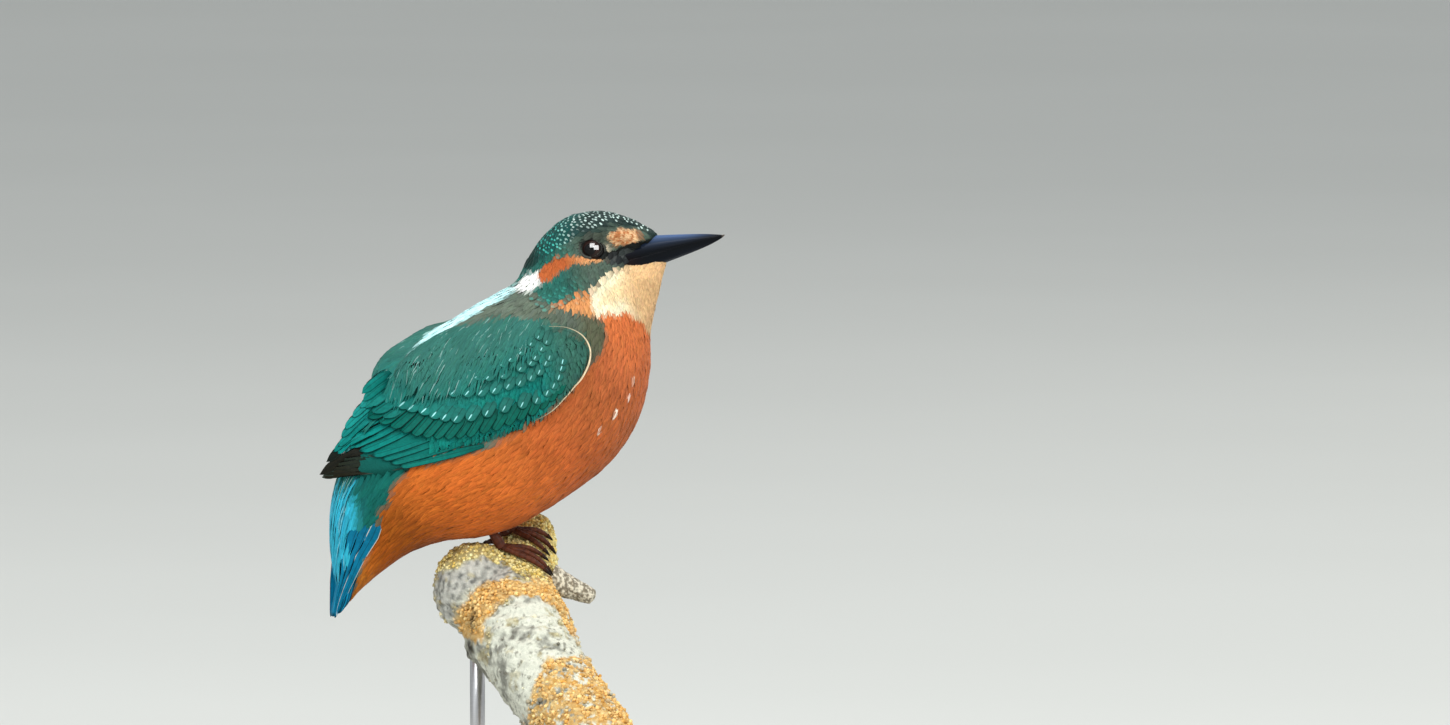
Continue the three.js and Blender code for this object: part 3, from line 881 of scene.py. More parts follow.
@dataclass(frozen=True)
class SteelLook:
    """The rods: brushed steel, the marks round the rod."""

    name: str = "stand_brushed_steel"

    def material(self) -> bpy.types.Material:
        """Roughness and bump from noise squeezed along Z."""
        paint = Paint(self.name, Metallic=1.0)
        drawn = paint.node("ShaderNodeMapping", {}, paint.position(), Scale=(1.0, 1.0, 14.0))[0]
        brush = paint.grain(400.0, 4.0, drawn)
        paint.feed("Base Color", paint.blend((0.42, 0.42, 0.43), (0.62, 0.62, 0.62), brush))
        paint.feed("Roughness", brush * 0.25 + 0.2)
        paint.raise_by(brush, 0.15, 0.00005)
        return paint.material


# ---------- markings
# Outlines and spots in the straight bird's side view, as (x, z) in millimetres.
UPPER_EDGE = (
    (-41.8, -12), (-39.8, -2.8), (-37.1, 6.1), (-36.9, 9.9), (-34.4, 12), (-34.3, 15.7), (-29.7, 20.8),
    (-22, 23), (-8, 26.5), (5, 34.2), (14, 41.5), (19, 47.2), (23.4, 51.1), (24.8, 55.1), (24.2, 57.8),
    (21.5, 60.6), (14.5, 62.2), (11, 63.4), (9.5, 66.5), (8, 72), (6, 80), (-62, 80), (-62, -14),
)
SCAPULAR_BAND = (
    (10, 60), (9.5, 57.5), (4.5, 54.5), (-1, 50.5), (-6, 47.5), (-12, 45), (-19, 43.5), (-24.5, 42.5),
    (-29, 41), (-36, 35), (-38, 40), (-30, 50), (-20, 57), (-4, 62),
)
FLECKS = ((33.4, 43.2), (27.8, 34), (25.9, 31.8), (23, 29.5), (31.5, 38.5))
CHEEK_EDGE = (
    (10, 62.5), (13.3, 63.7), (18.8, 65.1), (24.7, 66.7), (26.3, 68), (29.4, 70), (33.1, 71.7), (37.1, 72.9),
    (40.1, 73.2), (50, 74.4), (50, 92), (0, 92), (3, 72), (6.4, 66.2),
)
THROAT = (
    (50, 74.4), (40.1, 73.2), (37.1, 72.9), (33.1, 71.7), (29.4, 70), (26.3, 68), (24.2, 66.3), (22.6, 63.6),
    (22.3, 61.6), (23.1, 59.8), (27.1, 60.5), (30.3, 60.3), (32.8, 61), (34.9, 59.3), (37.6, 57.5),
    (38.6, 55.2), (40.1, 54), (50, 53),
)
THROAT_REAR = (
    (24.7, 66.6), (18.8, 65), (12.8, 63), (9.6, 62.2), (14.5, 62), (17.1, 61.3), (20.2, 60.4), (24, 60),
)
EAR_STRIPE = (
    (31.9, 74.8), (29.6, 75.1), (26.4, 75.3), (22.6, 75.7), (18.1, 75.5), (14.3, 73.6), (10.9, 71.7),
    (9.8, 69.3), (12.7, 69.3), (16.9, 71.5), (21.9, 73.5), (25.9, 74), (29.5, 74.2),
)
NECK_PATCH = ((2.6, 66.6), (4.6, 69.2), (8.6, 71.2), (10.8, 71.4), (10.9, 69.2), (8.6, 67.3), (5.6, 66.2))
LORE_PATCH = (
    (32.2, 80.4), (33.6, 82.2), (35, 82.9), (37.1, 82.7), (39.4, 81.8), (40.2, 80), (38.6, 78.6), (36, 78.2),
    (34.2, 78.1), (32.8, 79.2),
)
GAPE = (
    (31, 75.5), (34.5, 76.9), (38.4, 78.4), (42, 79.8), (44, 76), (40.1, 73.4), (37.1, 73.1),
    (34.5, 73.3), (32.5, 74.1),
)
CROWN_EDGE = (
    (50, 79), (44, 79.4), (41.6, 80.8), (38.9, 83), (33, 83.6), (28.5, 81.8), (23, 80.2), (18, 77.6),
    (14, 75.4), (9.8, 72.6), (4, 71), (4, 92), (50, 92),
)

BILL_EDGE = (
    (44, 81.6), (40.6, 79.2), (37.5, 76.2), (35, 73.9), (36.2, 73.2), (40, 73.3), (46, 74), (60, 76),
    (60, 92), (46, 84),
)


@dataclass(frozen=True)
class Eyes:
    """The eyes in the straight head, and how much of each the lids show."""

    centre: Place = (28.0, 8.0, 77.5)
    radius: float = 3.4
    half_long: float = 2.45
    half_high: float = 2.15

    def away(self, flat: Array) -> Array:
        """A place's distance from the eye in the side view, in lid openings."""
        x, z = flat[:, 0] - self.centre[0] - 0.1, flat[:, 1] - self.centre[2] - 0.35
        return np.hypot(x / self.half_long, z / self.half_high)


@dataclass
class Markings:
    """The plumage's colours by place, shared by the skin and all that grows on it."""

    body: Body
    eyes: Eyes
    ragged: float = 0.45

    def tint(self, t: Array, turn: Array) -> Array:
        """Fields of colour laid over each other from the belly up, each inside an outline of the side view
        with uneven edges.

        Args:
            t: places along the body.
            turn: places round it.

        Returns:
            A linear colour for each."""
        places = self.body.section(t, turn)
        flat, side = places[:, [0, 2]], np.abs(places[:, 1])
        even = stacked(flat[:, 0], side, flat[:, 1])
        wander = stacked(noise(places, 1.1, 3), noise(places, 1.1, 4))
        flat = flat + self.ragged * wander * smooth(0.0, 2.0, side)[:, None]
        x, z = flat.T
        back = 1 - smooth(0.25, 0.6, np.minimum(turn, TAU - turn) / np.pi)
        colour = self.underparts(t, turn, places)

        def lay(paint: Colour | Array, share: Array) -> None:
            """Covers the colour with a paint, by a share at each place."""
            colour[:] = mix(colour, np.asarray(paint, float), share[:, None])

        def within(outline: Sequence[Spot], edge: float = 0.7) -> Array:
            """1 inside the outline, 0 outside, eased over the edge's width."""
            return smooth(-edge, edge, inside(flat, outline))

        upper = within(UPPER_EDGE, 1.0)
        mantle = np.clip(0.5 + 0.5 * noise(places, 2.6, 11), 0, 1)
        lay(tinted((0.08, 0.1, 0.076), (0.13, 0.165, 0.125), mantle), upper)
        lay((0.105, 0.112, 0.068), upper * smooth(15, 20, x) * smooth(44, 50, z))
        lay(self.wing(x, z), upper * (1 - smooth(0.2, 2.2, -inside(flat, self.body.wing_outline))))
        lay((0.006, 0.118, 0.098), upper * smooth(25, 21, z + 0.2 * x + 7))
        lay((0.016, 0.2, 0.21), upper * smooth(16, 9, z) * smooth(-39, -41.5, x))
        stripe = back * smooth(0.9, -0.9, side + 0.6 * noise(places, 1.6, 13) - self.stripe_half(z))
        stripe = stripe * smooth(68.5, 66, z)
        lay(tinted((0.04, 0.5, 0.66), (0.6, 1.0, 1.0), smooth(14, 40, z)), stripe)
        strings = smooth(0.19, 0.15, t) * back
        lay((0.035, 0.46, 0.64), strings * smooth(8.5, 6.5, side))

        cheek = within(CHEEK_EDGE, 0.6) * smooth(0.555, 0.585, t)
        lay(tinted((0.024, 0.13, 0.104), (0.085, 0.125, 0.096), smooth(15, 27, x)), cheek)
        lay((0.07, 0.085, 0.066), cheek * bump(np.hypot((x - 29) / 1.6, z - 80.8), 0, 3.0))
        cap = tinted((0.008, 0.028, 0.024), (0.012, 0.08, 0.07), smooth(8, 15, x))
        lay(tinted(cap, (0.024, 0.044, 0.04), smooth(20, 27, x)),
            within(CROWN_EDGE, 0.8) * smooth(0.6, 0.62, t))
        lay((0.92, 0.92, 0.88), within(NECK_PATCH, 0.5) * smooth(1.2, 2.4, side))
        stripe_colour = tinted((0.5, 0.12, 0.035), (0.74, 0.34, 0.14), smooth(19, 27, x))
        lay(stripe_colour, within(EAR_STRIPE, 0.45))
        lay((0.7, 0.3, 0.11), within(THROAT_REAR, 0.6))
        cream = tinted((0.93, 0.72, 0.42), (0.8, 0.5, 0.25), smooth(29, 40, x))
        cream = tinted(cream, (0.96, 0.9, 0.64), smooth(4.5, 0.5, inside(flat, THROAT)) * smooth(38, 30, x))
        lay(cream, within(THROAT, 0.7) * smooth(0.53, 0.56, t))
        streak = smooth(-0.5, 0.5, noise(places * (1.0, 1.0, 0.4), 0.42, 17))
        lay(tinted((0.55, 0.2, 0.07), (0.95, 0.62, 0.34), streak), within(LORE_PATCH, 0.55))
        lay((0.62, 0.52, 0.38), bump(np.hypot(x - 32.0, z - 77.7), 0, 0.9))
        for ahead, up in FLECKS:
            lay((0.95, 0.8, 0.68), bump(np.hypot(x - ahead, z - up), 0, 0.5))
        lore, _ = from_line(flat, ((29.6, 75.4), (34.5, 76.7), (38.4, 78.1), (42.5, 79.8)))
        lay(tinted((0.022, 0.026, 0.027), (0.055, 0.062, 0.06), streak), within(GAPE, 0.5))
        lay((0.012, 0.014, 0.013), smooth(1.0, 0.45, lore))
        lay((0.02, 0.022, 0.02), smooth(1.38, 1.12, self.eyes.away(flat)) * (t > 0.66))
        light = 1 + 0.1 * noise(even, 4.5, 21) + 0.05 * noise(places, 1.4, 22)
        return np.clip(colour * light[:, None], 0, 1)

    @staticmethod
    def stripe_half(z: Array) -> Array:
        """Half the width of the blue stripe down the back, narrow between the wings."""
        return mix(0.2, 4.7, smooth(46, 57.5, z))

    @staticmethod
    def underparts(t: Array, turn: Array, places: Array) -> Array:
        """Rust from breast to tail coverts, a curve of colours along t, with painted shade that darkens the
        underside.
        """
        run = (
            (0.5, 0.155, 0.02), (0.52, 0.165, 0.02), (0.4, 0.1, 0.01), (0.34, 0.085, 0.009),
            (0.52, 0.125, 0.018),
            (0.62, 0.145, 0.024), (0.6, 0.145, 0.028), (0.53, 0.125, 0.03), (0.46, 0.12, 0.034),
            (0.5, 0.13, 0.042),
            (0.64, 0.165, 0.05), (0.72, 0.2, 0.065), (0.7, 0.3, 0.12), (0.8, 0.5, 0.25),
        )
        colour = spline(run, np.clip(t / 0.76, 0, 1))
        # painted shade: the underside of belly and vent darkened by up to a third
        below = smooth(0.72, 1.0, 1 - np.abs(turn / np.pi - 1)) * smooth(0.5, 0.36, t) * smooth(0.1, 0.2, t)
        return colour * (1 - 0.34 * below)[:, None]

    @staticmethod
    def wing(x: Array, z: Array) -> Array:
        """Teal: greyer up on the scapulars, deep along the lower edge, dull at the bend."""
        colour = tinted((0.004, 0.185, 0.155), (0.034, 0.15, 0.122), smooth(-6, 12, z - 45 - 0.42 * x))
        colour = tinted(colour, (0.01, 0.23, 0.2), smooth(-24, -34, x) * smooth(30, 36, z))
        return tinted(colour, (0.035, 0.125, 0.095), smooth(3, 13, x))


# ---------- coat
@dataclass(frozen=True)
class TuftShape:
    """How a kind of tuft is cut: widths are shares of half the width, root to tip; ridge is the middle's
    rise over the edges; round_ is how far its shading turns to the sides; shade is painted shade on the
    tint, root to tip, darkest at the root that the tuft before it covers."""

    widths: tuple[float, ...]
    ridge: float = 0.35
    round_: float = 0.8
    shade: tuple[float, ...] = (0.5, 0.85, 1.0, 1.06)


STRAND = TuftShape((0.6, 1.0, 0.95, 0.6), ridge=0.08, round_=0.6, shade=(0.93, 0.97, 1.0, 1.02))
FINE_STRAND = TuftShape((0.6, 1.0, 0.75), ridge=0.12, round_=0.6, shade=(0.9, 0.97, 1.02))
EDGES = np.array([-1.0, 0.0, 1.0])
FIRST_T, LAST_T = 0.004, 0.9995
SCALE = TuftShape((0.6, 0.92, 1.0, 0.95, 0.62), ridge=0.12, shade=(0.6, 0.8, 1.0, 1.0))


@dataclass
class Coat:
    """Tufts over the skin, all lying towards the tail, leaning aside by an angle."""

    body: Body
    markings: Markings
    lengths: tuple[Spot, ...] = ((0, 6.0), (0.17, 6.6), (0.33, 6.0), (0.5, 5.0), (0.58, 3.9), (0.63, 3.0),
                                 (0.68, 2.3), (0.75, 1.7), (0.85, 1.4), (1, 1.0))
    depths: tuple[Spot, ...] = ((0, 0.7), (0.17, 0.9), (0.5, 0.85), (0.6, 0.7), (0.68, 0.55), (0.8, 0.4),
        (1, 0.3))
    wing_rise: float = 2.3
    thigh_at: tuple[Place, ...] = ()
    thigh_radii: Place = (8.0, 4.8, 5.6)

    def __post_init__(self) -> None:
        """Works out the wings' and the thighs' rise and each place's ground, on an even grid."""
        t, turn = np.meshgrid(np.linspace(0, 1, 301), circle(240), indexing="ij")
        places, away = self.body.section(t, turn), self.body.normal(t, turn)
        x, side, z = places[..., 0], np.abs(places[..., 1]), places[..., 2]
        shoulder = mix(5.0, 3.4, smooth(44, 52, z)) * smooth(59, 51, z) * smooth(35, 45, z)
        shoulder = shoulder * (np.cos(turn) > 0) * bump(side, 7.5, 3.4) * smooth(2, -10, x)
        self.rise = Field(self.wing_rise * self.body.wing_share(t, turn, 1.6) + shoulder)
        most = np.zeros(t.shape)
        for middle in self.thigh_at:
            reach = leaving((places - middle) / self.thigh_radii, away / self.thigh_radii)
            most = np.maximum(most, reach)
        most = np.clip(most, 0, 1.6)
        for axis in (0, 1) * 5:
            most = (np.roll(most, 4, axis) + 2 * most + np.roll(most, -4, axis)) / 4
        self.thighs = Field(most)
        along, around = self.body.scale(np.clip(t, 0.002, 0.998), turn)
        self.ground = Field(along * around)

    def length(self, t: Array) -> Array:
        """A tuft's length: most at the vent, least at the bill."""
        return np.interp(t, *zip(*self.lengths))

    def depth(self, t: Array) -> Array:
        """The coat's depth, from the skin to the tufts' tips."""
        return np.interp(t, *zip(*self.depths))

    def roots(self, count: int, t_from: float, t_to: float, density: Callable[[Array], Array],
              seed: int) -> tuple[Array, Array]:
        """Even pairs of numbers, carried to (t, turn) by the running sums of ground times density.

        Args:
            count: how many.
            t_from: the lowest t.
            t_to: the highest t.
            density: relative number on a square millimetre, by t.
            seed: picks another set.

        Returns:
            (t, turn) of each."""
        t = np.linspace(t_from, t_to, 161)
        turn = (np.arange(180) + 0.5) * TAU / 180
        weight = self.ground.read(t[:, None], turn[None]) * density(t)[:, None]
        pairs = spread(count, seed)
        whole = np.concatenate([[0], np.cumsum(weight.sum(axis=0))])
        place = np.interp(pairs[:, 0], whole / whole[-1], np.arange(181))
        column = np.minimum(place.astype(int), 179)
        steps = np.concatenate([np.zeros((1, 180)), np.cumsum((weight[1:] + weight[:-1]) / 2, axis=0)])
        shares = np.linspace(0, 1, 161)
        inverse = stacked(*(np.interp(shares, c / c[-1], t) for c in steps.T))
        down = pairs[:, 1] * 160
        low = np.minimum(down.astype(int), 159)
        found = mix(inverse[low, column], inverse[low + 1, column], down - low)
        return found, (place % 180) * TAU / 180

    def lattice(self, t_from: float, t_to: float, step: float, gap: float) -> tuple[Array, Array]:
        """Roots in staggered rows round the body, step apart, and gap apart within a row."""
        places, turns, t, odd = [], [], t_from, False
        ring = (np.arange(360) + 0.5) * TAU / 360
        while t < t_to:
            along, around = self.body.scale(np.full(360, t), ring)
            reach = np.concatenate([[0], np.cumsum(around * TAU / 360)])
            count = max(int(reach[-1] / gap), 8)
            turns.append(np.interp((np.arange(count) + 0.5 * odd) / count * reach[-1], reach,
                np.arange(361) * TAU / 360))
            places.append(np.full(count, t))
            t += step / float(np.median(along[:90]))
            odd = not odd
        return np.concatenate(places), np.concatenate(turns)

    def tufts(self, t: Array, turn: Array, shape: TuftShape, length: Array, half: Array,
              lean: Array | float, low: Array | float, high: Array | float, seed: int,
              spot: Array | None = None, loose: float = 0.08, on_wing: Any = 0.0,
              pale: float = 0.0) -> Shell:
        """Lays a tuft from each root: a closed blade of three sides whose middle line runs length * share
        along and length * share * tan(lean) aside, rising from low to high.

        Args:
            t: roots along the body.
            turn: roots round it.
            shape: the cut.
            length: millimetres.
            half: half the width.
            lean: radians off the body's run, towards the belly.
            low: the root's height over the CAD's surface.
            high: the tip's height.
            seed: for the unevenness.
            spot: strength of each spot.
            loose: how unevenly they lie, in radians.
            on_wing: the share of the folded wings' rise that they lie on.
            pale: the share of narrow pale tufts, painted paler as the sheen on single strands.

        Returns:
            One shell with tint, spot, Vane and OFBake."""
        rng = np.random.default_rng(seed)
        count, rows = len(t), len(shape.widths)
        share = np.append(np.arange(rows) / rows, 1.0)
        lean = lean + rng.normal(0, loose, count)
        length = length * rng.uniform(0.82, 1.15, count)
        bend = rng.normal(0, 0.06, count) * length
        side = np.where(turn < np.pi, 1.0, -1.0)
        step_t, step_turn = self.body.scale(t, turn)
        step_t, step_turn = np.maximum(step_t, 12), np.maximum(step_turn, 1.5)
        run = share[None] * (length * np.cos(lean))[:, None]
        aside = share[None] * (length * np.sin(lean) * -side)[:, None] + bend[:, None] * share**2
        # painted sheen: a share of tufts, drawn narrower and mixed towards pale teal, stands in for glints
        # on single strands
        sheen_tufts = rng.uniform(size=count) < pale
        widths = np.append(shape.widths, 0.0)[None] * (half * np.where(sheen_tufts, 0.45, 1.0))[:, None]
        across = aside[..., None] + widths[..., None] * EDGES
        climb = 1 - (1 - share) ** 3.8
        end = high + rng.normal(0, 0.05, count)
        height = mix((low + np.zeros(count))[:, None], end[:, None], climb)
        where_t = np.clip(t[:, None, None] - run[..., None] / step_t[:, None, None], FIRST_T, LAST_T)
        where_turn = turn[:, None, None] - across / step_turn[:, None, None]
        where_t = np.broadcast_to(where_t, where_turn.shape)
        on_wing = (on_wing + np.zeros(count))[:, None, None]
        height = height[..., None] + on_wing * self.rise.read(where_t, where_turn)
        height = height + self.thighs.read(where_t, where_turn)
        edges = (height[..., 0] + height[..., 2]) / 2
        twist = np.maximum(height[:, :-1, 0] + height[:, 1:, 2], height[:, :-1, 2] + height[:, 1:, 0]) / 2
        edges[:, :-1] = np.maximum(edges[:, :-1], twist)
        edges[:, 1:] = np.maximum(edges[:, 1:], twist)
        height[..., 1] = np.maximum(height[..., 1], edges) + widths * shape.ridge
        points = self.body.place(where_t, where_turn, height)
        shell = lofts(points[:, :-1], points[:, -1, 1])
        aslant = unit(points[:, :-1, 2:] - points[:, :-1, :1]) * EDGES[:, None]

        def per_point(rings: Array, tip: Array) -> Array:
            """Values of shape (count, rows, 3, ...) and (count, ...) in the points' order."""
            flat = rings.reshape(count, rows * 3, *rings.shape[3:])
            return np.concatenate([flat, tip[:, None]], axis=1).reshape(count * (rows * 3 + 1),
                *rings.shape[3:])

        shown = np.clip(t - 0.55 * length / step_t, FIRST_T, 0.999), turn - 0.55 * aside[:, -1] / step_turn
        tint = self.markings.tint(*shown)
        tint = tint * rng.uniform(0.87, 1.13, (count, 1)) * (1 + rng.normal(0, 0.02, (count, 3)))
        tint = np.where(sheen_tufts[:, None], tinted(tint, (0.5, 0.75, 0.72), 0.3), tint)
        # painted shade: the tint darkened towards each tuft's root, under the tufts laid over it
        shade = np.interp(share, np.linspace(0, 1, len(shape.shade)), shape.shade)
        rings = tint[:, None, None] * shade[None, :-1, None, None] * np.ones((1, 1, 3, 1))
        shell.values["tint"] = per_point(rings, tint * shade[-1])
        if spot is not None:
            shell.values["spot"] = per_point(spot[:, None, None] * np.ones((1, rows, 3)), spot)
        sheet = unit(np.cross(np.diff(points[:, :, 1], axis=1), points[:, :-1, 2] - points[:, :-1, 0]))
        facing = mix(self.body.facing(where_t[:, :-1], where_turn[:, :-1]), sheet[:, :, None], 0.75)
        shell.facing = per_point(unit(facing + shape.round_ * aslant), unit(facing[:, -1, 1]))
        vane = np.empty((count, rows, 3, 2))
        vane[..., 0] = 0.5 + 0.5 * EDGES * np.maximum(shape.widths, 0.3)[:, None]
        vane[..., 1] = share[None, :-1, None]
        tip = np.tile([0.5, 1.0], (count, 1))
        shell.maps["Vane"] = per_point(vane, tip)
        root = stacked(turn / TAU, t)
        patch = root[:, None, None] + (vane - 0.5) * 0.003
        shell.maps["OFBake"] = per_point(patch, root + (tip - 0.5) * 0.003)
        return shell


@dataclass
class Skin:
    """One closed skin under the coat, from the tail coverts into the bill's root."""

    body: Body
    coat: Coat
    markings: Markings
    rows: int = 330
    ring: int = 240

    def shell(self) -> Shell:
        """The body's surface, lowered by the coat's depth and raised under the wings."""
        turns = circle(self.ring)
        t, turn = np.meshgrid(np.linspace(FIRST_T, 0.997, self.rows), turns, indexing="ij")
        lift = self.coat.rise.read(t, turn) * 0.9 + self.coat.thighs.read(t, turn) - self.coat.depth(t)
        flat = self.body.section(t, turn).reshape(-1, 3)[:, [0, 2]]
        ahead = inside(flat, BILL_EDGE).reshape(t.shape)
        lift = lift - 1.9 * smooth(-0.3, 2.0, ahead) * (t > 0.7)
        shell = loft(self.body.place(t, turn, lift))
        flat_t, flat_turn = np.append(t.ravel(), [t[-1, 0], t[0, 0]]), np.append(turn.ravel(), [0.0, 0.0])
        # painted shade: the skin takes the markings at 0.85, darker under the coat
        shell.values["tint"] = self.markings.tint(flat_t, flat_turn) * 0.85
        shell.maps["OFBake"] = stacked(np.append(turn.ravel() / TAU, [0.5, 0.5]), flat_t)
        return shell


# ---------- wings and tail
@dataclass(frozen=True)
class VaneRow:
    """A row of large feathers of the left wing, in the side view. Pairs are for its first and its last
    feather; lie is in degrees below the way to the tail."""

    name: str
    tips: tuple[Spot, ...]
    count: int
    length: Spot
    lie: Spot
    half: Spot
    lift: Spot
    tint: tuple[Colour, Colour]
    trim: Colour = (0.01, 0.03, 0.03)
    edge: float = 0.0
    spot: float = 0.0
    tilt: float = 0.3
    blunt: float = 1.2
    power: float = 0.5
    past: float = 0.0
    camber: float = 0.12
    sink: float = 0.75


ACROSS = np.array([-1, -2 / 3, -1 / 3, 0, 1 / 3, 2 / 3, 1, 2 / 3, 1 / 3, 0, -1 / 3, -2 / 3])
TOP = np.where(np.arange(12) < 7, 1.0, -1.0)
SWELL = np.sqrt(1 - ACROSS**2 + 1e-9)


def vane_outline(length: Array, half: Array, blunt: float, power: float) -> tuple[Array, Array]:
    """Half widths along vanes: widening from the root to a quarter of the way, then straight; the tip
    closes as (1 - q^2)^power over its last blunt half-widths.

    Args:
        length: one for each vane.
        half: half the width of each.
        blunt: the tip's length in half-widths.
        power: half for a round tip, more for a pointed one.

    Returns:
        (shares along, half widths), shape (vanes, rows + 1), the tip last."""
    begin = np.clip(1 - blunt * half / length, 0.3, 0.95)[:, None]
    straight = begin * np.array([0.0, 0.16, 0.4, 0.7, 1.0])
    q = np.sin(np.arange(1, 6) * np.pi / 11.4)
    share = np.concatenate([straight, begin + (1 - begin) * q], axis=1)
    wide = mix(0.45, 1.0, smooth(0, 0.28, share)) * (1 - np.append(np.zeros(5), q) ** 2) ** power
    tip = np.ones((len(share), 1))
    return np.hstack([share, tip]), np.hstack([wide * half[:, None], 0 * tip])


def vanes(points: Array) -> Shell:
    """Closed vanes, shaded as thin sheets: a ring's top is along x across, turned out a little.

    Args:
        points: shape (vanes, rows + 1, 12, 3), the last ring on the tip.

    Returns:
        One shell."""
    shell = lofts(points[:, :-1], points[:, -1, 3])
    across = unit(points[:, :-1, 6] - points[:, :-1, 0])
    along = unit(np.diff(points[:, :, 3], axis=1))
    top = unit(np.cross(along, across))
    facing = (top[:, :, None] + 0.3 * across[:, :, None] * ACROSS[:, None]) * TOP[:, None]
    facing = np.concatenate([unit(facing).reshape(len(points), -1, 3), top[:, -1:]], axis=1)
    shell.facing = facing.reshape(-1, 3)
    return shell


def vane_values(shell: Shell, shares: Array, roots: Array, tint: Array, extra: dict[str, Array],
                patch: float) -> Shell:
    """Gives a shell of vanes its tint, edges and maps.

    Args:
        shell: the vanes, each with its rings' points and then its tip.
        shares: share along at each row.
        roots: each vane's (turn / TAU, t).
        tint: a colour for each.
        extra: more for each vane, by name.
        patch: a vane's size on OFBake.

    Returns:
        The same shell."""
    count, rows = shares.shape
    each = rows * len(ACROSS) + 1
    vane = np.empty((count, each, 2))
    vane[:, :-1, 0] = np.tile(0.5 + 0.5 * ACROSS, rows)
    vane[:, :-1, 1] = np.repeat(shares, len(ACROSS), axis=1)
    vane[:, -1] = (0.5, 1.0)
    shell.maps["Vane"] = vane.reshape(-1, 2)
    span = (vane - 0.5) * patch * np.array([1.0, 1.6])
    shell.maps["OFBake"] = (roots[:, None] + span).reshape(-1, 2)
    # painted shade: each vane darker towards its root, under the rows laid over it
    shade = mix(0.62, 1.0, smooth(0, 0.5, vane[..., 1]))
    shell.values["tint"] = (tint[:, None] * shade[..., None]).reshape(-1, 3)
    for name, value in extra.items():
        shell.values[name] = np.repeat(value, each, axis=0)
    return shell


ROWS = (
    VaneRow("primaries",
            ((-49.4, 17.9), (-48.9, 19), (-46.8, 20.5), (-44, 21.8), (-41.2, 22.9), (-38.5, 23.6)), 8,
            (25.6, 20), (12.6, 19), (1.2, 1.3), (0.7, 1.0), ((0.014, 0.013, 0.007), (0.01, 0.03, 0.022)),
            (0.1, 0.16, 0.13), 0.4, blunt=2.6, power=0.7, tilt=0.22),
    VaneRow("upper primaries", ((-49.4, 18.5), (-47.6, 21.4)),
            2, (20, 18), (32, 42), (1.4, 1.4), (1.25, 1.6), ((0.012, 0.012, 0.008), (0.01, 0.014, 0.011)),
            (0.03, 0.04, 0.035), 0.4, blunt=2.4, power=0.7),
    VaneRow("secondaries",
            ((-32.2, 21.4), (-34.7, 22.5), (-37, 23.4), (-39.6, 24.4), (-42, 25.2), (-44, 25), (-45.6, 24)),
            9, (22, 20), (14, 44), (1.1, 1.2), (1.1, 1.7), ((0.002, 0.15, 0.122), (0.003, 0.21, 0.187)),
            (0.0005, 0.003, 0.003), 1.0, blunt=1.8, tilt=0.4),
    VaneRow("tertials", ((-44.4, 23.2), (-44, 26), (-42.8, 28.9), (-40.8, 32.2), (-38.2, 35.2)),
            6, (17, 11), (50, 48), (1.45, 1.5), (1.9, 2.2), ((0.003, 0.22, 0.2), (0.014, 0.28, 0.255)),
            (0.0005, 0.003, 0.003), 1.0, blunt=1.6, tilt=0.44, sink=2.4),
    VaneRow("rear scapulars", ((-37, 38.4), (-36.6, 35.8), (-35.4, 33.8), (-33.4, 32.8)),
            5, (9, 8), (50, 47), (1.5, 1.4), (3.2, 2.7), ((0.004, 0.19, 0.165), (0.006, 0.15, 0.125)),
            (0.001, 0.02, 0.018), 0.7, blunt=1.8, power=0.7, tilt=0.3, sink=2.4),
    VaneRow("greater coverts",
            ((-36.2, 32.5), (-33.6, 31), (-30.8, 29.8), (-27.6, 28.8), (-24.2, 28.5), (-20.4, 28.5),
            (-16.8, 28.7), (-12.1, 29.8), (-7.5, 31.1), (-2.8, 33), (1.6, 34.8), (5.3, 37.1), (8.6, 39.8)),
            18, (9.5, 6.4), (44, 62), (1.4, 1.3), (2.2, 2.4),
            ((0.0015, 0.118, 0.092), (0.001, 0.095, 0.066)), (0.0005, 0.005, 0.004), 1.0, tilt=0.4,
            blunt=1.5),
    VaneRow("median coverts",
            ((-29.5, 36.3), (-24, 34.6), (-18, 33.2), (-8, 35.4), (3, 38.2), (8.6, 43), (10.6, 48)), 16,
            (9, 6.5), (46, 66), (1.5, 1.2), (2.5, 2.6), ((0.008, 0.16, 0.135), (0.02, 0.12, 0.095)),
            (0.001, 0.03, 0.024), 0.4, 1.0, past=0.9, tilt=0.14, camber=0.06, sink=2.2),
    VaneRow("outer lesser coverts", ((-20.2, 40), (-12.9, 39.8), (-4.3, 41.6), (3, 44.4), (7.2, 49)),
            11, (8, 6), (46, 64), (1.35, 1.15), (2.5, 2.7), ((0.012, 0.165, 0.138), (0.024, 0.13, 0.104)),
            (0.002, 0.04, 0.034), 0.3, 1.0, past=0.9, tilt=0.12, camber=0.05, sink=2.2),
    VaneRow("lesser coverts", ((-11.5, 44.2), (-6, 44.3), (1.2, 47.1), (4, 49.6), (7, 53)),
            8, (6, 5), (46, 60), (1.25, 1.1), (2.6, 2.75), ((0.018, 0.165, 0.136), (0.03, 0.14, 0.112)),
            (0.004, 0.05, 0.042), 0.25, 0.95, past=0.9, tilt=0.1, camber=0.04, sink=2.2),
    VaneRow("inner lesser coverts", ((-5, 47.3), (0, 50.2), (5, 54)),
            5, (5, 4.4), (46, 58), (1.15, 1.0), (2.7, 2.8),
            ((0.017, 0.155, 0.125), (0.024, 0.135, 0.107)), (0.006, 0.06, 0.05), 0.2, 0.8, past=0.8,
            tilt=0.1, camber=0.04, sink=2.2),
)
RIM = (
    (8.4, 57), (13.1, 56.7), (17, 54.7), (18.8, 51.3), (18.3, 47.7), (16.2, 44), (13.8, 41.6),
    (11.1, 38.9), (7.2, 35.4), (2.3, 32.9),
)


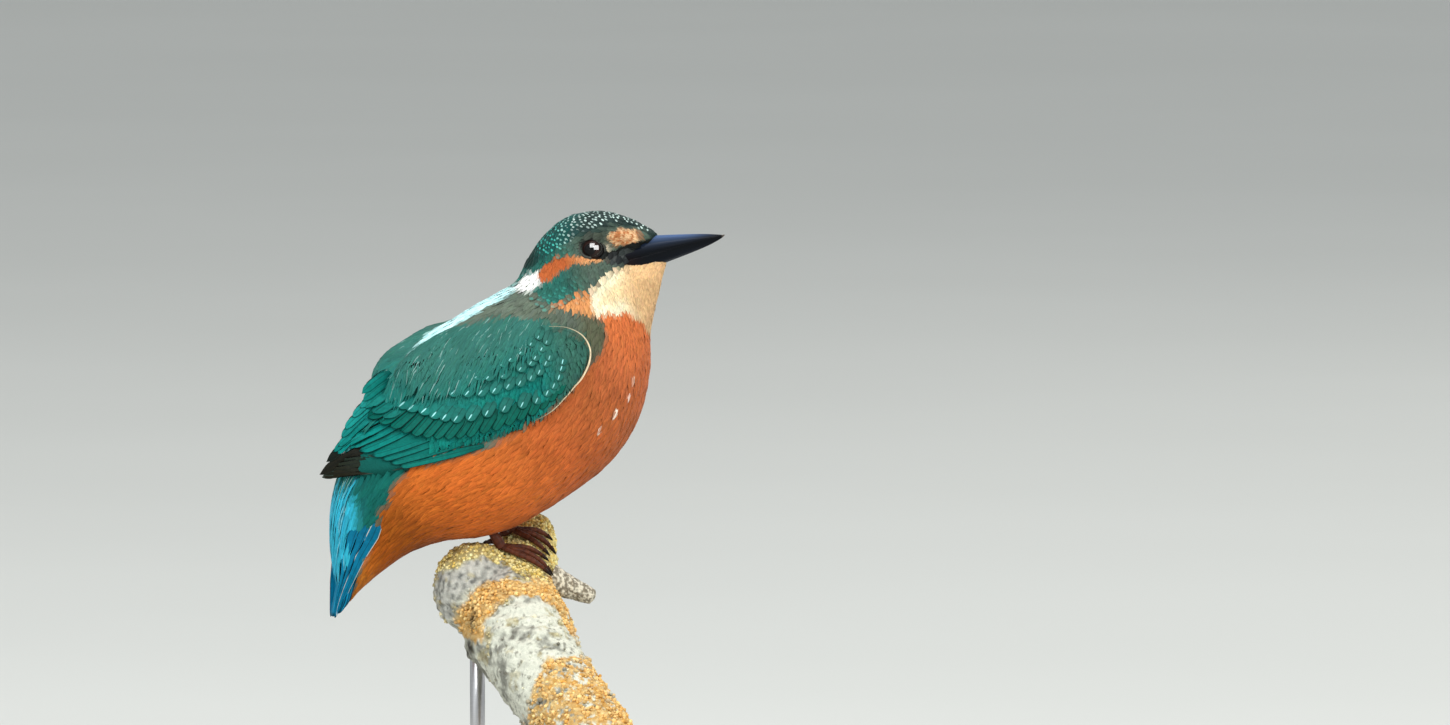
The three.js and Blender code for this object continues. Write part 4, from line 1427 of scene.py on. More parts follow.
@dataclass
class Wings:
    """The folded wings' feathers in rows over the body's side, the rear laid over the fore."""

    body: Body
    rows: tuple[VaneRow, ...] = ROWS
    thickness: float = 0.13
    slip: float = 0.0

    def row(self, row: VaneRow, seed: int) -> Shell:
        """A row: each vane's middle line runs straight in the side view, its lower edge tilted out over
        the feather below.

        Args:
            row: its sizes.
            seed: for the unevenness.

        Returns:
            The left side's vanes."""
        rng = np.random.default_rng(seed)
        k = np.linspace(0, 1, row.count)
        lie = np.radians(mix(*row.lie, k) + rng.normal(0, 1.3, row.count))
        run = stacked(-np.cos(lie), -np.sin(lie))
        tips = spline(row.tips, k) + run * (row.past + rng.normal(0, 0.12, (row.count, 1)))
        length, half = mix(*row.length, k), mix(*row.half, k)
        share, wide = vane_outline(length, half, row.blunt, row.power)
        side = stacked(run[:, 1], -run[:, 0])
        back = (share - 1) * length[:, None]
        aside = wide[..., None] * ACROSS
        flat = (tips[:, None, None] + run[:, None, None] * back[..., None, None]
                + side[:, None, None] * aside[..., None])
        height = mix(*row.lift, k)[:, None, None] - row.sink * (1 - share[..., None]) ** 1.5
        height = height - row.tilt * ACROSS * smooth(0, 0.4, share)[..., None]
        height = height + (row.camber + TOP * self.thickness / 2) * SWELL
        height = height + rng.normal(0, 0.04, row.count)[:, None, None]
        points = self.body.over(flat[..., 0], flat[..., 1], height)
        points[..., 0] += self.slip * np.maximum(points[..., 1], 0) * smooth(-14, -36, points[..., 0])
        shell = vanes(points)
        root = tips - run * length[:, None]
        t, turn, _ = self.body.beside(root[:, 0], root[:, 1])
        colour = tinted(*row.tint, k) * rng.uniform(0.9, 1.1, (row.count, 1))
        ones = np.ones(row.count)
        spot = row.spot * rng.uniform(0.6, 1.0, row.count)
        extra = {"trim": np.tile(row.trim, (row.count, 1)), "edge": row.edge * ones, "spot": spot}
        return vane_values(shell, share[:, :-1], stacked(turn / TAU, t), colour, extra, 0.01)

    def rim(self) -> Shell:
        """The pale edge along the wing's bend: a rod on the body's side, thinning to both ends."""
        share = np.linspace(0, 1, 90)
        x, z = spline(RIM, share).T
        line = self.body.over(x, z, np.full(90, 1.55))
        shell = loft(round_curve(line, 0.27 * np.interp(share, [0, 0.25, 0.45, 0.8, 1],
            [0.3, 0.7, 1, 0.8, 0.2]), 10))
        tint = np.array([0.85, 0.68, 0.45]) * (1 + 0.15 * noise(shell.points, 1.2, 5))[:, None]
        dull = np.append(np.repeat(smooth(0.3, 0.05, share) + smooth(0.7, 1, share), 10), [1, 1])
        shell.values["tint"] = tinted(tint, (0.12, 0.17, 0.13), dull * 0.8)
        return shell

    def shell(self) -> Shell:
        """All the rows of the left wing."""
        return all_joined([self.row(row, seed) for seed, row in enumerate(self.rows)])


@dataclass
class Tail:
    """The closed tail: pairs of vanes, the middle one on the back, and outer ones over its sides."""

    body: Body
    root: Spot = (-39.4, 14.0)
    tip: Spot = (-46.2, -19.3)
    half: Spot = (5.2, 3.4)
    pairs: int = 6
    arch: Spot = (4.5, 0.8)
    vane_half: float = 2.3
    sides: tuple[tuple[Spot, ...], ...] = (
        ((-39.6, 12.5), (-41.9, 4), (-43.8, -4), (-44.9, -11), (-46.3, -19.4)),
        ((-37.6, 12.5), (-39.8, 4), (-42.2, -3.6), (-44.2, -10.8), (-46.2, -19.2)),
        ((-35.4, 12.5), (-37.6, 4), (-40.6, -3), (-43.2, -9.8), (-46, -18.9)),
    )

    def values(self, shell: Shell, share: Array, outer: Array, roots: Array, seed: int) -> Shell:
        """Blue vanes with dark edges, pale where outer is 1."""
        count = len(outer)
        rng = np.random.default_rng(seed)
        blue = tinted((0.002, 0.13, 0.24), (0.004, 0.24, 0.42), rng.uniform(0, 1, count))
        trim = tinted((0.002, 0.008, 0.014), (0.75, 0.74, 0.66), outer)
        extra = {"trim": trim, "edge": np.full(count, 0.85), "spot": np.zeros(count)}
        return vane_values(shell, share, roots, blue, extra, 0.009)

    def fan(self) -> Shell:
        """Vane k lies k sixths of the way out, a step further forward and shorter; the blade's sides bend
        forward by arch * across^2."""
        k = np.repeat(np.arange(self.pairs), 2)
        side = np.tile([1.0, -1.0], self.pairs)
        count = len(k)
        out = (k + 0.55) / self.pairs
        run = np.subtract(self.tip, self.root)
        full = float(np.hypot(*run))
        run = run / full
        length = full - 2.4 * out**2 + np.random.default_rng(5).normal(0, 0.15, count)
        share, wide = vane_outline(length, np.full(count, self.vane_half), 1.8, 0.5)
        wide = wide * mix(0.62, 1.0, share)
        middle = side[:, None] * mix(*self.half, share) * (out * 0.8)[:, None]
        y = middle[..., None] - wide[..., None] * ACROSS
        reach = mix(*self.half, share)[..., None]
        forward = mix(*self.arch, share**0.7)[..., None] * (y / reach) ** 2
        forward = forward + (k * 0.17)[:, None, None] - 0.5
        forward = forward - (0.12 + 0.06 * TOP) * SWELL
        down = share[..., None] * length[:, None, None]
        x = self.root[0] + run[0] * down - run[1] * forward
        z = self.root[1] + run[1] * down + run[0] * forward
        points = stacked(x, y, z)
        roots = stacked((side * out * 0.12) % 1.0, 0.1 + 0.02 * out)
        shell = vanes(points)
        return self.values(shell, share[:, :-1], np.zeros(count), roots, 5)

    def side(self) -> Shell:
        """The outer vanes of the left, each along its line in the side view, draped over the coverts above
        and drawn in to the blade below."""
        count = len(self.sides)
        share, wide = vane_outline(np.full(count, 32.0), np.full(count, 1.75), 5.0, 0.6)
        wide = wide * mix(1.05, 0.45, share)
        line = np.stack([spline(spots, s) for spots, s in zip(self.sides, share)])
        run = unit(np.gradient(line, axis=1))
        across = stacked(run[..., 1], -run[..., 0])
        flat = line[:, :, None] + across[:, :, None] * (wide[..., None] * ACROSS)[..., None]
        high = 0.3 - 2.4 * smooth(0.22, 0.02, share)[..., None]
        high = high + 0.12 * np.arange(count)[:, None, None] + (0.1 + 0.06 * TOP) * SWELL
        draped = self.body.over(flat[..., 0], flat[..., 1], high)
        level = mix(6.4, 2.4, smooth(-4, -19, flat[..., 1])) * (0.8 + 0.1 * np.arange(count)[:, None, None])
        blade = stacked(flat[..., 0], level + 0.06 * TOP, flat[..., 1])
        points = mix(draped, blade, smooth(2.0, -8.0, flat[..., 1])[..., None])
        shell = vanes(points)
        roots = stacked(0.2 + 0.014 * np.arange(count), np.full(count, 0.16))
        return self.values(shell, share[:, :-1], (np.arange(count) == count - 1) * 1.0, roots, 6)


# ---------- head pieces
@dataclass
class Bill:
    """A dagger of a bill, split along the mouth line, deepest at the gape."""

    body: Body
    gape: Spot = (34.2, 73.8)
    tip: Spot = (62.0, 81.3)
    half: float = 5.3
    upper: float = 6.6
    lower: float = 4.1
    gap: float = 0.3
    rows: int = 90
    ring: int = 48

    def sizes(self, taper: Array, upper: bool) -> tuple[Array, Array]:
        """Half the width and the depth of a half, at taper 1 on the gape and 0 at the tip."""
        wide = self.half * taper**0.75 * mix(1, 0.7, smooth(1, 0.5, taper)) + 0.12
        deep = self.upper * taper**0.84 if upper else self.lower * taper**0.52
        return wide, deep

    def mandible(self, upper: bool) -> Shell:
        """A half: side = half cos(turn), rise = depth |sin(turn)|^0.8, with a groove over the mouth, a
        nostril's slit and a keel."""
        share = 1 - (1 - np.linspace(0, 1, self.rows)) ** 1.4
        taper = mix(1.02, 0.005, share)
        turn = circle(self.ring) * (-1 if upper else 1)
        wide, deep = (v[:, None] for v in self.sizes(taper, upper))
        sine = np.sin(turn)[None]
        bulge = np.maximum(-sine if upper else sine, 0)
        arch = deep * bulge**0.8
        side = np.cos(turn)[None] * wide
        s = share[:, None]
        pit = bump(bulge, 0.62, 0.12) * smooth(0.02, 0.1, s) * smooth(0.34, 0.16, s) * 0.45 * upper
        line = bump(bulge, 0.3, 0.1) * smooth(0.02, 0.2, s) * smooth(0.95, 0.5, s) * 0.1
        side = side * (1 - (pit + line) / np.maximum(wide, 1.2))
        arch = arch + 0.12 * bump(side, 0, 0.5) * smooth(1.0, 0.8, s) * (bulge > 0.5)
        ahead = np.subtract(self.tip, self.gape)
        size = float(np.hypot(*ahead))
        rise = np.array([-ahead[1], ahead[0]]) / size * (1 if upper else -1)
        base = np.asarray(self.gape) + ahead * (1 - taper)[:, None]
        away = arch - 0.14
        points = stacked(base[:, None, 0] + rise[0] * away, side, base[:, None, 1] + rise[1] * away)
        points = self.body.turned(points)
        shell = loft(points)
        # painted reflection: the upper mandible's ridge tinted steel blue for the sky's sheen along the
        # culmen
        ridge = bulge**2.6 * smooth(1.0, 0.6, s) * (1 if upper else 0.06)
        tint = tinted((0.003, 0.004, 0.006), (0.075, 0.13, 0.27), ridge)
        tint = tinted(tint, (0.03, 0.008, 0.006), smooth(0.3, 0.0, s) * (0.1 if upper else 0.4))
        tint = tinted(tint, (0.2, 0.17, 0.14), smooth(0.965, 1.0, s) * 0.7)
        shell.values["tint"] = np.concatenate([tint.reshape(-1, 3), [(0.2, 0.17, 0.14), (0.01, 0.01, 0.01)]])
        across = np.abs(2 * np.arange(self.ring) / self.ring - 1)
        flat = np.stack(np.broadcast_arrays(across[None], s), axis=-1).reshape(-1, 2)
        shell.maps["Length"] = np.concatenate([flat, [[0.5, 1.0], [0.5, 0.0]]])
        return shell


@dataclass
class EyePieces:
    """The left eye's ball and lids, worked out on the straight head."""

    body: Body
    eyes: Eyes
    skin_rise: float = 0.15

    def flank(self, x: Array, z: Array) -> Array:
        """How far out the head's side lies near the eye, by a quadratic fitted to it."""
        t, turn = np.meshgrid(np.linspace(self.body.at("nape"), 0.99, 120), np.linspace(0.3, 2.6, 120),
            indexing="ij")
        places = self.body.straight(t, turn).reshape(-1, 3)
        near = np.hypot(places[:, 0] - self.eyes.centre[0], places[:, 2] - self.eyes.centre[2]) < 5

        def terms(x: Array, z: Array) -> Array:
            """1, x, z, x^2, x z and z^2 about the eye."""
            x, z = x - self.eyes.centre[0], z - self.eyes.centre[2]
            return stacked(np.ones_like(x), x, z, x * x, x * z, z * z)

        fit, *_ = np.linalg.lstsq(terms(places[near, 0], places[near, 2]), places[near, 1], rcond=None)
        return terms(x, z) @ fit

    def ball(self) -> Shell:
        """A ball with a low swelling over the pupil, its pole outwards."""
        down = np.linspace(np.pi - 0.08, 0.05, 34)[:, None]
        turn = circle(48)[None]
        radius = self.eyes.radius + 0.12 * smooth(0.9, 0.0, down)
        x, y, z = self.eyes.centre
        flat = radius * np.sin(down)
        points = stacked(x + flat * np.cos(turn), y + radius * np.cos(down), z + flat * np.sin(turn))
        shell = loft(points)
        iris = smooth(0.42, 0.5, down) * smooth(0.95, 0.8, down)
        tint = tinted((0.0004, 0.0004, 0.0004), (0.002, 0.001, 0.0008), iris * np.ones_like(turn))
        shell.values["tint"] = np.concatenate([tint.reshape(-1, 3), np.full((2, 3), 0.0025)])
        return shell

    def posed(self, shell: Shell, side: float) -> Shell:
        """The shell on the left, or mirrored to the right, with the head turned."""
        chosen = shell if side > 0 else shell.mirrored()
        return Shell(self.body.turned(chosen.points), chosen.quads, chosen.triangles, chosen.values,
            chosen.maps)

    def lids(self) -> Shell:
        """A ring round the opening, from inside the ball over a soft rim and out under the feathers; its
        section is (openings from the middle, height, share over the head)."""
        section = ((0.92, -0.3, 0), (0.97, 0.02, 0), (1.0, 0.1, 0), (1.03, 0.17, 0.4), (1.07, 0.18, 0.7),
                   (1.13, 0.1, 1), (1.22, -0.05, 1), (1.4, -0.4, 1), (1.4, -1.3, 1), (1.05, -2.2, 1))
        out, height, share = (np.array(column)[None] for column in zip(*section))
        turn = circle(96)[:, None]
        corner = 1 + 0.1 * bump(np.cos(turn), 1, 0.12) + 0.06 * bump(np.cos(turn), -1, 0.12)
        x = self.eyes.centre[0] + 0.1 + self.eyes.half_long * out * corner * np.cos(turn)
        z = self.eyes.centre[2] + 0.35 + self.eyes.half_high * out * np.sin(turn)
        reach = np.hypot(x - self.eyes.centre[0], z - self.eyes.centre[2])
        ball = self.eyes.centre[1] + np.sqrt(np.maximum(self.eyes.radius**2 - reach**2, 0.2))
        head = self.flank(x, z) + self.skin_rise
        folds = 0.035 * np.sin(turn * 22) * smooth(1.0, 1.15, out) * smooth(1.5, 1.3, out)
        y = mix(ball, np.maximum(head, ball - 0.4 * share), share) + height + folds
        shell = wreath(stacked(x, y, z))
        pale = bump(turn, 5.4, 0.5) * bump(out, 1.13, 0.05)
        tint = tinted((0.06, 0.064, 0.055), (0.5, 0.48, 0.42), pale)
        tint = tinted(tint, (0.002, 0.002, 0.002), smooth(1.07, 1.0, out) * np.ones_like(turn))
        shell.values["tint"] = tint.reshape(-1, 3)
        return shell


# ---------- feet
def centripetal(points: Sequence[Place] | Array, share: Array) -> Array:
    """A centripetal Catmull-Rom curve, spaced evenly by its own length.

    Args:
        points: its corners.
        share: how far along, 0 to 1.

    Returns:
        A point for each share."""
    corners = np.asarray(points, float)
    padded = np.vstack([2 * corners[0] - corners[1], corners, 2 * corners[-1] - corners[-2]])
    step = np.sqrt(np.linalg.norm(np.diff(padded, axis=0), axis=1))
    run = np.linspace(0, len(corners) - 1, 60 * (len(corners) - 1) + 1)
    k = np.minimum(run.astype(int), len(corners) - 2)
    w = (run - k)[:, None]
    before, start, end, after = (padded[k + i] for i in range(4))
    d0, d1, d2 = (step[k + i][:, None] for i in range(3))
    leave = ((start - before) / d0 - (end - before) / (d0 + d1) + (end - start) / d1) * d1
    arrive = ((end - start) / d1 - (after - start) / (d1 + d2) + (after - end) / d2) * d1
    cubic, square = 2 * start - 2 * end + leave + arrive, -3 * start + 3 * end - 2 * leave - arrive
    line = ((cubic * w + square) * w + leave) * w + start
    reach = np.concatenate([[0], np.cumsum(np.linalg.norm(np.diff(line, axis=0), axis=1))])
    return stacked(*(np.interp(share, reach / reach[-1], line[:, i]) for i in range(3)))


@dataclass(frozen=True)
class Toe:
    """A toe: (millimetres along the branch, degrees round it), the claw last."""

    name: str
    path: tuple[Spot, ...]


TOES = (
    Toe("inner", ((1.4, 84), (2.8, 69), (3.4, 54), (3.6, 44), (3.8, 33))),
    Toe("middle", ((0, 82), (0, 64), (-0.5, 46), (-0.8, 35), (-1, 23))),
    Toe("outer", ((-1.4, 84), (-3, 69), (-4, 55), (-4.5, 45), (-4.8, 34))),
    Toe("hind", ((0.4, 106), (0.8, 118), (1.2, 128), (1.4, 139))),
)


@dataclass
class Branch:
    """The perch's stem, from the sawn end up, with a round knot, in its own unturned frame."""

    corners: tuple[Place, ...] = (
        (29.5, -63, -54.5), (23.4, -52, -46.5), (14.8, -38, -37), (7, -22, -26), (3, -5, -15.5),
        (5.4, 7, -8.6),
        (7.2, 17, -2.6), (7.8, 23, 1.2),
    )
    radii: tuple[float, ...] = (10.6, 11, 11.6, 12.6, 13.4, 11.4, 8.8, 6)
    knot: Place = (-6.6, -6, -12.4)
    knot_radii: Place = (11, 10, 12)
    length: float = 108.3
    turn: float = np.radians(-18)

    def radius(self, share: Array) -> Array:
        """The stem's radius along it."""
        return spline(self.radii, share)[..., 0]

    def around(self, share: Array, turn: Array, radius: Array) -> Array:
        """Points round the stem: turn 0 is level, right of its run."""
        here = centripetal(self.corners, share)
        step = 1e-3
        ends = [centripetal(self.corners, np.clip(share + d, 0, 1)) for d in (-step, step)]
        run = unit(ends[1] - ends[0])
        side = unit(np.cross(run, UP))
        rise = np.cross(side, run)
        return here + radius[..., None] * (np.cos(turn)[..., None] * side + np.sin(turn)[..., None] * rise)

    def out_of_knot(self, places: Array, lift: Array) -> Array:
        """Places pushed out of the knot until they clear it by lift."""
        reach = np.array(self.knot_radii) + lift[:, None]
        offset = places - self.knot
        share = np.linalg.norm(offset / reach, axis=1, keepdims=True)
        return np.where(share < 1, self.knot + offset / np.maximum(share, 1e-6), places)

    def posed(self, places: Array) -> Array:
        """The perch's places turned to where it stands."""
        return spun(places, self.turn)


@dataclass
class Foot:
    """A foot that grips the branch, and its claws."""

    branch: Branch
    along: float
    radius: float = 1.05
    thin: float = 0.72
    gap: float = 0.3

    def line(self, path: Sequence[Spot]) -> Array:
        """A toe's middle line on the branch, lifted by its radius."""
        along, degrees = np.array(path).T
        share = self.along + along / self.branch.length
        lift = self.gap + 0.25 + self.radius * mix(1, 0.7, np.arange(len(path)) / len(path))
        spots = self.branch.around(share, np.radians(degrees), self.branch.radius(share) + lift)
        return self.branch.out_of_knot(spots, lift + 0.25)

    def ankle(self) -> Array:
        """Where the toes meet."""
        share = np.array([self.along])
        return self.branch.around(share, np.radians([98.0]), self.branch.radius(share) + self.gap + 2.2)[0]

    def tube(self, line: Array, radius: Array, scutes: float) -> Shell:
        """A toe or shank: rings swollen and nicked by scutes as |sin|^0.6 above, with soft pads below.

        Args:
            line: its middle line.
            radius: one for each point.
            scutes: how many.

        Returns:
            The shape."""
        rows = len(line)
        turn = -circle(20)
        top, sole = np.maximum(-np.sin(turn), 0), np.maximum(np.sin(turn), 0)
        beat = np.abs(np.sin(np.linspace(0, scutes * np.pi, rows)))[:, None]
        pads = np.abs(np.sin(np.linspace(0, scutes * np.pi * 0.4, rows)))[:, None]
        reach = radius[:, None] * (1 + top * (0.1 * beat**0.6 - 0.03) + sole * (0.16 * pads - 0.05))
        shell = loft(round_curve(line, reach, 20))
        # shade: darker in the nicks between scutes, and painted shade on the soles
        nick = mix(0.45, 1.0, beat**0.5 * np.ones(20))
        shade = np.append((nick * mix(1.0, 0.8, sole)).ravel(), [1.0, 1.0])
        tone = 0.5 + 0.5 * noise(shell.points, 1.3, 7)
        colour = tinted((0.16, 0.045, 0.02), (0.07, 0.02, 0.012), tone)
        shell.values["tint"] = colour * shade[:, None]
        return shell

    def toes(self) -> Shell:
        """The four toes from the ankle and the shank up into the feathers."""
        ankle, shells, share = self.ankle(), [], np.linspace(0, 1, 44)
        for toe in TOES:
            line = centripetal(np.vstack([ankle, self.line(toe.path[:-1])]), share)
            radius = self.radius * self.thin * mix(1.1, 0.8, share)
            radius = radius * np.sqrt(np.clip(1 - share**14, 0.1, 1))
            shells.append(self.tube(line, radius, 9))
        shank = ankle + np.linspace(-0.12, 1.1, 20)[:, None] * np.array([-2.6, 0.4, 4.4])
        shells.append(self.tube(shank, np.full(20, 1.3), 4))
        whole = all_joined(shells)
        whole.points = self.branch.posed(whole.points)
        return whole

    def claws(self) -> Shell:
        """Each claw is a quadratic curve from the toe's end, thinning to a point."""
        shells = []
        share = np.linspace(0, 1, 14)
        for toe in TOES:
            before, start, tip = self.line(toe.path)[-3:]
            start = start - unit(start - before) * 0.35
            reach = tip - start
            bend = start + reach * 0.5 + unit(start - before) * 0.5
            line = (1 - share[:, None]) ** 2 * start + 2 * (share * (1 - share))[:, None] * bend
            line = line + share[:, None] ** 2 * tip
            shells.append(loft(round_curve(line, mix(0.62, 0.1, share**1.1), 14)))
        whole = all_joined(shells)
        whole.points = self.branch.posed(whole.points)
        count = len(whole.points)
        flat = np.tile(np.append(np.repeat(share, 14), [1.0, 0.0]), len(TOES))
        whole.maps["Length"] = stacked(np.full(count, 0.5), flat)
        tint = tinted((0.05, 0.022, 0.014), (0.012, 0.01, 0.01), smooth(0.0, 0.5, flat))
        whole.values["tint"] = tint
        return whole


# ---------- perch and stand
# Outlines of crusts in the perch's broad view, as (across, up) in millimetres.
GREY_BARK = (
    (-19, -8.5), (-12, -8.5), (-8.5, -5.5), (-2, -5.2), (3, -8.5), (4, -11.5), (-2, -13), (-8, -12.5),
    (-11, -16), (-12, -20), (-19, -22),
)
RING_CRUST = (
    (21, -27), (20, -17), (19.5, -10.5), (9, -10.8), (2.7, -9.7), (-6, -12.3), (-11.2, -19), (-10.5, -26),
    (-4.5, -27), (-3.7, -23), (-1.8, -18.4), (1.1, -15.9), (7.6, -14.6), (10.8, -14.9), (15, -17),
    (18.2, -23),
)
# Rows that carry a place to (across, up) in the broad view, 18 degrees round from the side.
BROAD_VIEW = np.array([[0.951, -0.309, 0], [0.022, 0.066, 1]])
LOW_CRUST = ((12, -31), (26, -30), (60, -50), (60, -90), (4, -90), (7.6, -44.5), (11, -36))


@dataclass
class Perch:
    """The cut branch's bark, lichen and twig stub."""

    branch: Branch
    rows: int = 300
    ring: int = 300
    twig: tuple[Place, Place] = ((13.2, -1, -10.4), (25.2, -1, -15.2))
    twig_radius: float = 3.3

    def grid(self, rows: int, ring: int) -> tuple[Array, Array, Array]:
        """The smooth stem: radius is the larger of its own and the way out of the knot, evened out.

        Args:
            rows: steps along.
            ring: steps round.

        Returns:
            (places, outward directions, shares along)."""
        share = np.linspace(0, 1, rows)
        turn = -circle(ring)
        grid_s, grid_turn = np.meshgrid(share, turn, indexing="ij")
        flat = grid_s.ravel(), grid_turn.ravel()
        start = self.branch.around(*flat, np.zeros(rows * ring))
        away = self.branch.around(*flat, np.ones(rows * ring)) - start
        radii = np.array(self.branch.knot_radii)
        leaves = leaving((start - self.branch.knot) / radii, away / radii).reshape(rows, ring)
        own = self.branch.radius(grid_s)
        reach = np.maximum(own, leaves)
        for _ in range(4):
            evened = (np.roll(reach, 1, 1) + reach + np.roll(reach, -1, 1)) / 3
            evened[1:-1] = (evened[:-2] + evened[1:-1] + evened[2:]) / 3
            reach = np.maximum(evened, own)
        places = start.reshape(rows, ring, 3) + away.reshape(rows, ring, 3) * reach[..., None]
        return places, away.reshape(rows, ring, 3), share

    def masks(self, places: Array) -> dict[str, Array]:
        """How much each crust covers a place, by outlines of the broad view with ragged edges.

        Args:
            places: places of the posed perch.

        Returns:
            Shares by crust."""
        across, height = places @ BROAD_VIEW[0], places @ BROAD_VIEW[1]
        ragged = layered(places, 5.0, 4, 31) * 1.4
        fine = layered(places, 1.6, 3, 37)
        across, height = across + ragged, height + 0.8 * ragged + 0.7 * fine
        flat = stacked(across, height).reshape(-1, 2)

        def within(outline: Sequence[Spot]) -> Array:
            """1 inside an outline."""
            return smooth(-0.6, 0.6, inside(flat, outline)).reshape(across.shape)

        edge = np.interp(across, [-16, -8.6, -2, 2.7, 9, 19], [-8.5, -5.2, -5.2, -8.1, -10.7, -10.7])
        flecks = smooth(0.45, 0.8, layered(places, 3.2, 3, 41)) * smooth(-60, -20, height)
        yellow = np.clip(smooth(-0.8, 0.8, height - edge) + flecks * 0.5, 0, 1)
        orange = np.clip(within(RING_CRUST) + within(LOW_CRUST) * smooth(-0.5, 0.1, fine + 0.25), 0, 1)
        hollow = bump(across, -8.3, 1.9) * bump(height, -28.8, 3.0)
        hollow = hollow + 0.8 * bump(across, -6.6, 0.7) * bump(height, -21.3, 3)
        knob = bump(across, -8.5, 4.0) * bump(height, -29, 4.5)
        return {"yellow": yellow, "orange": orange, "grey": within(GREY_BARK), "hollow": hollow,
            "knob": knob}

    def tint(self, places: Array, shade_between_granules: float = 1.0) -> Array:
        """Pale grey bark with dark mottles, and over it the crusts' colours, darkened as painted shade
        between the granules, and painted shade in the hollow.
        """
        masks = self.masks(places)
        mottle = smooth(-0.1, 0.7, layered(places, 4.6, 4, 51))
        pits = smooth(0.45, 0.8, layered(places, 1.1, 2, 53))
        bark = tinted((0.68, 0.69, 0.58), (0.2, 0.2, 0.17), mottle * 0.85)
        bark = tinted(bark, (0.1, 0.09, 0.07), pits * 0.6)
        grain = 0.5 + 0.5 * noise(places, 0.9, 61)
        # painted shade: the crusts darkened by the factor where granules sit on them
        yellow = tinted((0.75, 0.52, 0.1), (1.0, 0.92, 0.5), grain) * shade_between_granules
        orange = tinted((0.72, 0.36, 0.07), (0.95, 0.72, 0.34), grain) * (0.45 + 0.55 * shade_between_granules)
        dull = tinted((0.12, 0.125, 0.12), (0.55, 0.55, 0.5), smooth(0.1, 0.7, grain))
        colour = tinted(bark, dull, masks["grey"] * 0.85)
        colour = tinted(colour, yellow, masks["yellow"])
        colour = tinted(colour, orange, masks["orange"])
        # painted shade: near black in the hollow, where the bark is sunk
        return tinted(colour, (0.02, 0.016, 0.012), masks["hollow"] * 0.95)

    def stem(self) -> Shell:
        """The bark: the smooth stem roughened by noise, wrinkled under the knot, grained under crusts and
        sunk at the hollow; the lower end is sawn flat, with year rings."""
        places, away, share = self.grid(self.rows, self.ring)
        masks = self.masks(self.branch.posed(places))
        rough = 0.32 * layered(places, 3.4, 4, 71) + 0.1 * noise(places, 0.8, 72)
        z, crust = places[..., 2], masks["yellow"] + masks["orange"]
        wrinkle = 0.22 * np.sin(z * 2.3 + 2 * noise(places, 6, 73)) * bump(z, -20, 9)
        grain = crust * (0.2 * noise(places, 0.7, 74) + 0.3 * noise(places, 1.5, 75) + 0.1)
        lift = rough + wrinkle + grain - 1.4 * masks["hollow"] + 3.0 * masks["knob"]
        ease = smooth(0.0, 0.012, share)[:, None] * 0.9 + 0.1
        rings = self.branch.posed(places + away * (lift * ease - 0.12)[..., None])
        tip = rings[-1].mean(axis=0)
        closing = [mix(rings[-1], tip, part) + 0.02 * UP for part in (0.35, 0.7)]
        foot = rings[0].mean(axis=0)
        sawn = [mix(foot, rings[0], part) for part in (0.04, 0.3, 0.6, 0.9, 0.985)]
        rings = np.concatenate([np.stack(sawn), rings, np.stack(closing)])
        shell = loft(rings)
        # painted shade between the granules: the stem's crusts at half strength
        tint = self.tint(shell.points, 0.5)
        out = np.linalg.norm(shell.points - foot, axis=1)
        year = 0.5 + 0.5 * np.sin(out * 4.4 + 1.5 * noise(shell.points, 3, 76))
        wood = tinted((0.5, 0.36, 0.2), (0.3, 0.19, 0.1), year * 0.6)
        first = np.arange(len(tint)) < len(sawn) * self.ring
        first[-1] = True
        tint[first] = wood[first]
        shell.values["tint"] = tint
        return shell

    def stub(self) -> Shell:
        """The twig's stub: a short tapered rod with a rough, rounded end."""
        share = np.linspace(0, 1, 60)
        line = mix(np.array(self.twig[0]), np.array(self.twig[1]), share[:, None])
        end = np.clip((share - 0.9) / 0.1, 0, 0.97)
        radius = self.twig_radius * mix(1.15, 0.6, share) * np.sqrt(1 - end**2)
        rings = round_curve(line, radius, 72)
        rings = rings + unit(rings - line[:, None]) * (0.34 * layered(rings, 1.8, 3, 81))[..., None]
        shell = loft(self.branch.posed(rings))
        speck = smooth(-0.3, 0.4, layered(shell.points, 0.7, 3, 82))
        shell.values["tint"] = tinted((0.25, 0.22, 0.16), (0.8, 0.75, 0.6), speck)
        return shell

    def lichen(self, count: int, seed: int) -> Shell:
        """Granules: 20-sided pebbles, half sunk, thickest where the crusts are."""
        rng = np.random.default_rng(seed)
        places, away, share = self.grid(160, 160)
        area = np.linalg.norm(np.cross(*np.gradient(places, axis=(0, 1))), axis=-1)
        masks = self.masks(self.branch.posed(places))
        weight = area * (masks["yellow"] ** 1.5 + 0.9 * masks["orange"] + 0.015) * (share < 0.985)[:, None]
        chosen = rng.choice(weight.size, count, p=weight.ravel() / weight.sum())
        spot = places.reshape(-1, 3)[chosen] + rng.normal(0, 0.22, (count, 3))
        out = away.reshape(-1, 3)[chosen]
        size = rng.uniform(0.2, 0.56, count) * np.where(rng.uniform(size=count) < 0.12, 1.4, 1.0)
        golden = (1 + 5**0.5) / 2
        corners = np.array([(0, a, b * golden) for a in (-1, 1) for b in (-1, 1)], float)
        corners = np.concatenate([np.roll(corners, k, axis=1) for k in range(3)]) / np.hypot(1, golden)
        trios = np.array([*combinations(range(12), 3)])
        a, b, c = np.moveaxis(corners[trios], 1, 0)
        longest = np.max([np.linalg.norm(p - q, axis=1) for p, q in ((a, b), (b, c), (c, a))], axis=0)
        outward = (np.cross(b - a, c - a) * a).sum(-1) > 0
        faces = np.where(outward[:, None], trios, trios[:, ::-1])[longest < 1.1]
        shape = corners[None] * size[:, None, None] * rng.uniform(0.75, 1.3, (count, 12, 1))
        points = self.branch.posed(spot[:, None] + shape
            + out[:, None] * (size * 0.15 - 0.12)[:, None, None])
